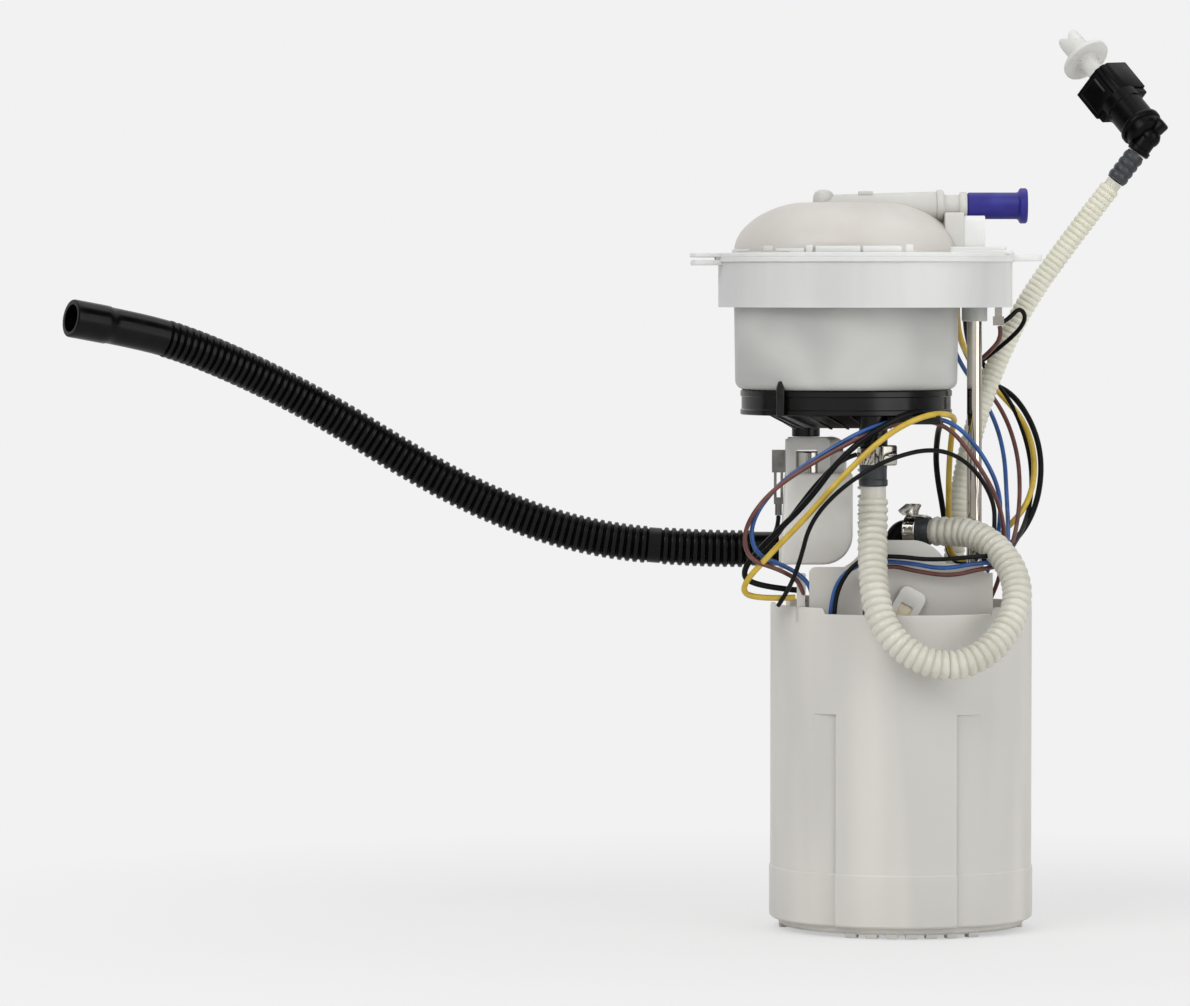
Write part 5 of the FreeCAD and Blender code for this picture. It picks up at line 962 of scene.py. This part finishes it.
def makeRods():
    radius, low, high = rods["radius"], rods["low"], rods["high"]
    for name, node, x, y in rods["places"]:
        rod = turned([(0, low), (radius - 0.6, low), (radius, low + 0.6), (radius, high - 0.6),
                      (radius - 0.6, high), (0, high)], 48, centre=(x, y))
        makePiece(name, rod, "flange", node)
        boss = turned([(3.35, 267), (5.3, 267), (5.6, 267.4), (5.6, 293), (3.35, 293)], 40, True, (x, y))
        makeLidPiece("rodBoss" + name[len("guideRod"):], boss, "bowlPlastic")


springShape = {"x": 4.5, "y": 47.5, "low": 158, "high": 214.6, "radius": 5.1, "wire": 0.7, "turns": 14,
               "perTurn": 24, "travel": 30}


def makeSpring():
    values = springShape
    wire, low, length = values["wire"], values["low"], values["high"] - values["low"]
    steps = values["turns"] * values["perTurn"]
    mesh = bmesh.new()
    bmesh.ops.create_circle(mesh, cap_ends=False, segments=8, radius=wire)
    shift(turn(mesh, 90, "X"), values["radius"], 0, low + wire)
    bmesh.ops.spin(mesh, geom=mesh.verts[:] + mesh.edges[:], cent=(0, 0, 0), axis=(0, 0, 1),
                   dvec=(0, 0, (length - 2 * wire) / steps), angle=fullTurn * values["turns"], steps=steps,
                   use_duplicate=False)
    bmesh.ops.holes_fill(mesh, edges=[e for e in mesh.edges if e.is_boundary], sides=0)
    shift(settle(mesh), values["x"], values["y"])
    spring = makePiece("guideSpring", mesh, "reservoir", "guide_spring", sharp=60)
    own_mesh(spring)


makeRods()
makeSpring()
print("lid and filter side made")


# Reservoir pot with its base plate and feet

pot = {"x": 16, "radius": 57.5, "wall": 2, "top": 143, "lip": 140.4, "foot": 4.8, "floor": 10, "steps": 360,
       "notch": (-36, 37.6), "strips": [(-41.6, -31.1, 1), (22.4, 34.4, -1)], "stripTop": 97, "stripDepth": 1.7,
       "post": (-31, 136, -27.2, 157.6), "spigotNotch": (5.5, 30.5, 126)}


def cutNotch(mesh, inside, first, last, low):
    # A notch on the left that lets the drain spigot down: the wall's faces go, and the three cut sides are closed
    def within(vertex):
        x, y, height = vertex.co
        bearing = math.degrees(math.atan2(y, -x))
        return first < bearing < last and height > low - 0.01 and math.hypot(x, y) > inside - 0.1

    faces = [face for face in mesh.faces if all(within(vertex) for vertex in face.verts)]
    bmesh.ops.delete(mesh, geom=faces, context="FACES")
    columns = {}
    for vertex in mesh.verts:
        if within(vertex):
            columns.setdefault(round(math.atan2(vertex.co.y, -vertex.co.x), 3), []).append(vertex)
    sides = []
    for bearing in sorted(columns):
        column = sorted(columns[bearing], key=lambda vertex: vertex.co.z)
        outer = [vertex for vertex in column if math.hypot(vertex.co.x, vertex.co.y) > inside + 0.6]
        sides.append((outer, [vertex for vertex in column if vertex not in outer]))
    for outer, inner in (sides[0], sides[-1]):
        mesh.faces.new(outer + inner[::-1])
    for (outerA, innerA), (outerB, innerB) in zip(sides, sides[1:]):
        mesh.faces.new((outerA[0], outerB[0], innerB[0], innerA[0]))
    bmesh.ops.recalc_face_normals(mesh, faces=mesh.faces[:])


def makePot():
    values = pot
    radius, foot, top, floor = values["radius"], values["foot"], values["top"], values["floor"]
    first, last, low = values["spigotNotch"]
    inside, stripTop = radius - values["wall"], values["stripTop"]
    profile = [(0, foot), (radius - 0.6, foot), (radius + 0.3, foot + 0.8), (radius + 0.5, foot + 2),
               (radius + 0.5, 27.4), (radius + 0.1, 28)]
    profile += [(radius, 28.6 + (96.6 - 28.6) * k / 12) for k in range(13)] + [(radius, 97.2), (radius, 98)]
    profile += [(radius, height) for height in sorted([low] + [98 + (top - 1 - 98) * k / 8 for k in range(1, 9)])]
    profile += [(radius - 0.2, top), (inside, top), (inside, low), (inside, floor), (0, floor)]
    mesh = turned(profile, values["steps"])
    cutNotch(mesh, inside, first, last, low)
    left, right = values["notch"]
    for vertex in mesh.verts:
        x, y, height = vertex.co
        if y >= 0 or math.hypot(x, y) < inside - 0.1:
            continue
        # The lip is lower along the front
        if height > values["lip"] - 1.4 and left < x < right:
            vertex.co.z -= top - values["lip"]
        # Strips of the wall set back, deepest at the panel's side and running out to the other
        for begin, end, side in values["strips"]:
            if height < stripTop and begin < x < end:
                share = (x - begin) / (end - begin)
                depth = values["stripDepth"] * (share if side > 0 else 1 - share)
                vertex.co.x *= 1 - depth / radius
                vertex.co.y *= 1 - depth / radius
    shift(mesh, values["x"])
    join(mesh, soften(slab(box(*values["post"]), -33.6, -31.6), 0.6, 30, 3))
    makePiece("reservoirPot", mesh, "reservoir", "reservoir_pot", sharp=24)


baseFeet = {"x": 16, "radius": 54, "low": 1.6, "high": 4.9, "width": 5.2, "depth": 4,
            "front": [-24.4, -15.4, -6.6, 2.2, 11.2, 20.4, 30], "places": [0, 45, 90, 135, 180]}


def makeBase():
    # The row of feet stands under the front panel, and single feet round the rest
    values = baseFeet
    radius, low, high, half = values["radius"], values["low"], values["high"], values["width"] / 2
    mesh = turned([(0, low), (radius - 1.2, low), (radius, low + 1.2), (radius, high), (0, high)], 120)
    for angle in values["places"] + [math.degrees(math.asin(x / radius)) - 90 for x in values["front"]]:
        foot = soften(block((radius - values["depth"], -half, 0), (radius - 0.4, half, low + 0.6)), 0.4)
        join(mesh, turn(foot, angle, "Z"))
    makePiece("basePlate", shift(mesh, values["x"]), "reservoir", "base_plate")


# Latch of the pump carrier, with its window

latch = {"x": 16.9, "height": 143.4, "turn": 29, "plate": (-6, -10, 6, 8), "window": (-3, -6.4, 2.6, 0.4)}


def makeLatch():
    values = latch
    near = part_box("carrier_latch")[0][1] / millimetre
    left, floor, right, roof = values["window"]
    plate = ringSlab(box(*values["plate"]), box(*values["window"]), 0, 1.8, 3.4, 0.3)
    soften(join(plate, block((-3, 0.9, 2.6), (3, 1.9, 6))), 0.25)
    pad = soften(block((left - 0.6, 0.9, floor - 0.6), (right + 0.6, 1.9, roof + 0.6)), 0.2)
    for mesh in (plate, pad):
        shift(turn(mesh, values["turn"], "Y"), values["x"], near, values["height"])
    makePiece("carrierLatch", plate, "reservoir", "carrier_latch", "carrierPlastic")
    makePiece("latchPad", pad, "reservoir", "carrier_latch", "creamPad", replaced=False)


makeLatch()
makePot()
makeBase()


# Outlet elbow in the loop, with its cuff and ear clamp

outlet = {"x": 13.4, "y": -8, "height": 175.2, "turn": -24, "radius": 4.9, "bend": 5.1, "end": 11, "slots": 14}


def atOutlet(mesh):
    turn(mesh, outlet["turn"], "Z")
    return shift(mesh, outlet["x"], outlet["y"])


def makeOutlet():
    values = outlet
    height, bend, radius = values["height"], values["bend"], values["radius"]
    riser = turned([(0, 112), (radius, 112), (radius, height - bend), (0, height - bend)], 32)
    elbow = bmesh.new()
    bmesh.ops.create_circle(elbow, cap_ends=False, segments=32, radius=radius)
    bmesh.ops.spin(elbow, geom=elbow.verts[:] + elbow.edges[:], cent=(bend, 0, 0), axis=(0, 1, 0),
                   angle=math.radians(90), steps=10, use_duplicate=False)
    run = sideways([(3, 0), (radius, 0), (radius, values["end"] - bend), (3, values["end"] - bend)], bend, 0,
                   height, 32)
    join(riser, shift(elbow, 0, 0, height - bend), run)
    makePiece("outletElbow", atOutlet(settle(riser)), "reservoir", "outlet_elbow")
    cuff = sideways([(4.65, 0), (5.9, 0), (6.15, 0.4), (6.15, 10.9), (5.9, 11.5), (4.65, 11.5), (4.65, 0)], 4.8,
                    0, height, 40)
    makePiece("elbowCuff", atOutlet(cuff), "reservoir", "elbow_cuff")
    band = sideways([(6.2, 0), (6.75, 0), (6.95, 0.2), (6.95, 0.7), (6.75, 0.9), (6.75, 4.6), (6.95, 4.8),
                     (6.95, 5.3), (6.75, 5.5), (6.2, 5.5), (6.2, 0)], 5.2, 0, height, 48)
    # Raised frames round the slots, as bars across the band
    for slot in range(values["slots"]):
        bar = soften(block((5.9, -0.45, height + 6.6), (10, 0.45, height + 7)), 0.12)
        join(band, turn(bar, slot * 360 / values["slots"], "X", (0, 0, height)))
    # The ear: a strip bent out to the left, up, over and back down on the band
    ear = slab([(4.4, 6.8), (2.6, 8), (1.9, 9), (5.6, 11.9), (6.2, 12.1), (10.2, 11.9), (10.9, 11.2), (9.7, 9),
                (9.4, 7.4), (13.4, 7), (15.4, 6.2), (15.2, 5.8), (12, 6.4), (8.9, 6.5), (8.7, 8.6), (9.4, 10.8),
                (6.6, 9.2), (5.4, 8.4), (6.6, 7.4), (7, 6.8)], -2.9, 2.9)
    join(band, soften(shift(ear, 0, 0, height), 0.15, 20))
    makePiece("earClamp", atOutlet(band), "reservoir", "ear_clamp")


makeOutlet()
print("pot and outlet made")


# Floor, backdrop and lights

studio = {"white": 0.887, "floorSize": 30, "floorTone": 0.81, "floorRough": 0.9, "shadowRadius": 0.22,
          "shadowFade": 0.5, "shadowShare": 0.55, "worldStrength": 0.55, "aim": (0, 0, -0.1),
          # Share of a half turn from the back, and the tone there. It is white straight back and in front.
          "sides": [(0.36, 0.9), (0.46, 0.06), (0.66, 0.06), (0.76, 0.9)]}


def grey(tone):
    return (tone, tone, tone, 1)


def makeWorld():
    world = bpy.data.worlds.new("studioWorld")
    stageScene.world = world
    world.use_nodes = True
    tree = world.node_tree
    path = addNode(tree, "LightPath").outputs
    seen = calc(tree, "MAXIMUM", calc(tree, "MAXIMUM", path["Is Camera Ray"], path["Is Glossy Ray"]),
                path["Is Transmission Ray"])
    level = addNode(tree, "MapRange", {"Value": seen, "To Min": studio["worldStrength"],
                                       "To Max": studio["white"]}).outputs["Result"]
    # Shiny surfaces see a studio that is dark to both sides, as between its lamps and its backdrop
    way = addNode(tree, "SeparateXYZ", {0: addNode(tree, "TexCoord").outputs["Generated"]}).outputs
    aside = calc(tree, "ABSOLUTE", calc(tree, "ARCTAN2", way["X"], way["Y"]))
    sides = addNode(tree, "ValToRGB", {"Fac": calc(tree, "DIVIDE", aside, math.pi)})
    for end in sides.color_ramp.elements:
        end.color = grey(1)
    for place, tone in studio["sides"]:
        sides.color_ramp.elements.new(place).color = grey(tone)
    matt = calc(tree, "SUBTRACT", 1, path["Is Glossy Ray"])
    shade = calc(tree, "MAXIMUM", matt, sides.outputs["Color"])
    feed(tree, tree.nodes["Background"], {"Color": grey(1), "Strength": calc(tree, "MULTIPLY", level, shade)})


def makeFloor():
    floor = bpy.data.materials.new("paleFloor")
    floor.use_nodes = True
    tree = floor.node_tree
    shader = tree.nodes["Principled BSDF"]
    feed(tree, shader, {"Base Color": grey(studio["floorTone"]), "Roughness": studio["floorRough"]})
    glow = addNode(tree, "Emission", {"Color": grey(studio["white"])})
    reach = addNode(tree, "VectorMath", {0: addNode(tree, "TexCoord").outputs["Object"]}, "LENGTH")
    fade = addNode(tree, "MapRange", {"Value": reach.outputs["Value"], "From Min": studio["shadowRadius"],
                                      "From Max": studio["shadowFade"], "To Min": studio["shadowShare"]})
    share = calc(tree, "MULTIPLY", fade.outputs["Result"], addNode(tree, "LightPath").outputs["Is Camera Ray"])
    mix = addNode(tree, "MixShader", {0: share, 1: shader.outputs[0], 2: glow.outputs[0]})
    feed(tree, tree.nodes["Material Output"], {"Surface": mix.outputs[0]})

    mesh = bmesh.new()
    bmesh.ops.create_grid(mesh, x_segments=2, y_segments=2, size=studio["floorSize"] / 2)
    data = toData("studioFloor", mesh)
    data.materials.append(floor)
    ground = bpy.data.objects.new("studioFloor", data)
    ground.location = (0, 0, -seatHeight * millimetre - 0.0002)
    stageScene.collection.objects.link(ground)


lamps = {
    "keyLamp": {"place": (-1.1, -1.5, 1.5), "size": 1.4, "power": 22},
    "fillLamp": {"place": (1.5, -1.3, 0.5), "size": 1.6, "power": 14},
    "topLamp": {"place": (0.1, 0.4, 1.8), "size": 1.6, "power": 7},
}


def makeLamps():
    for name, values in lamps.items():
        data = bpy.data.lights.new(name, "AREA")
        data.shape = "SQUARE"
        data.size = values["size"]
        data.energy = values["power"]
        lamp = bpy.data.objects.new(name, data)
        lamp.location = values["place"]
        sight = Vector(studio["aim"]) - lamp.location
        lamp.rotation_euler = sight.to_track_quat("-Z", "Y").to_euler()
        stageScene.collection.objects.link(lamp)


makeWorld()
makeFloor()
makeLamps()

print("stage ready")
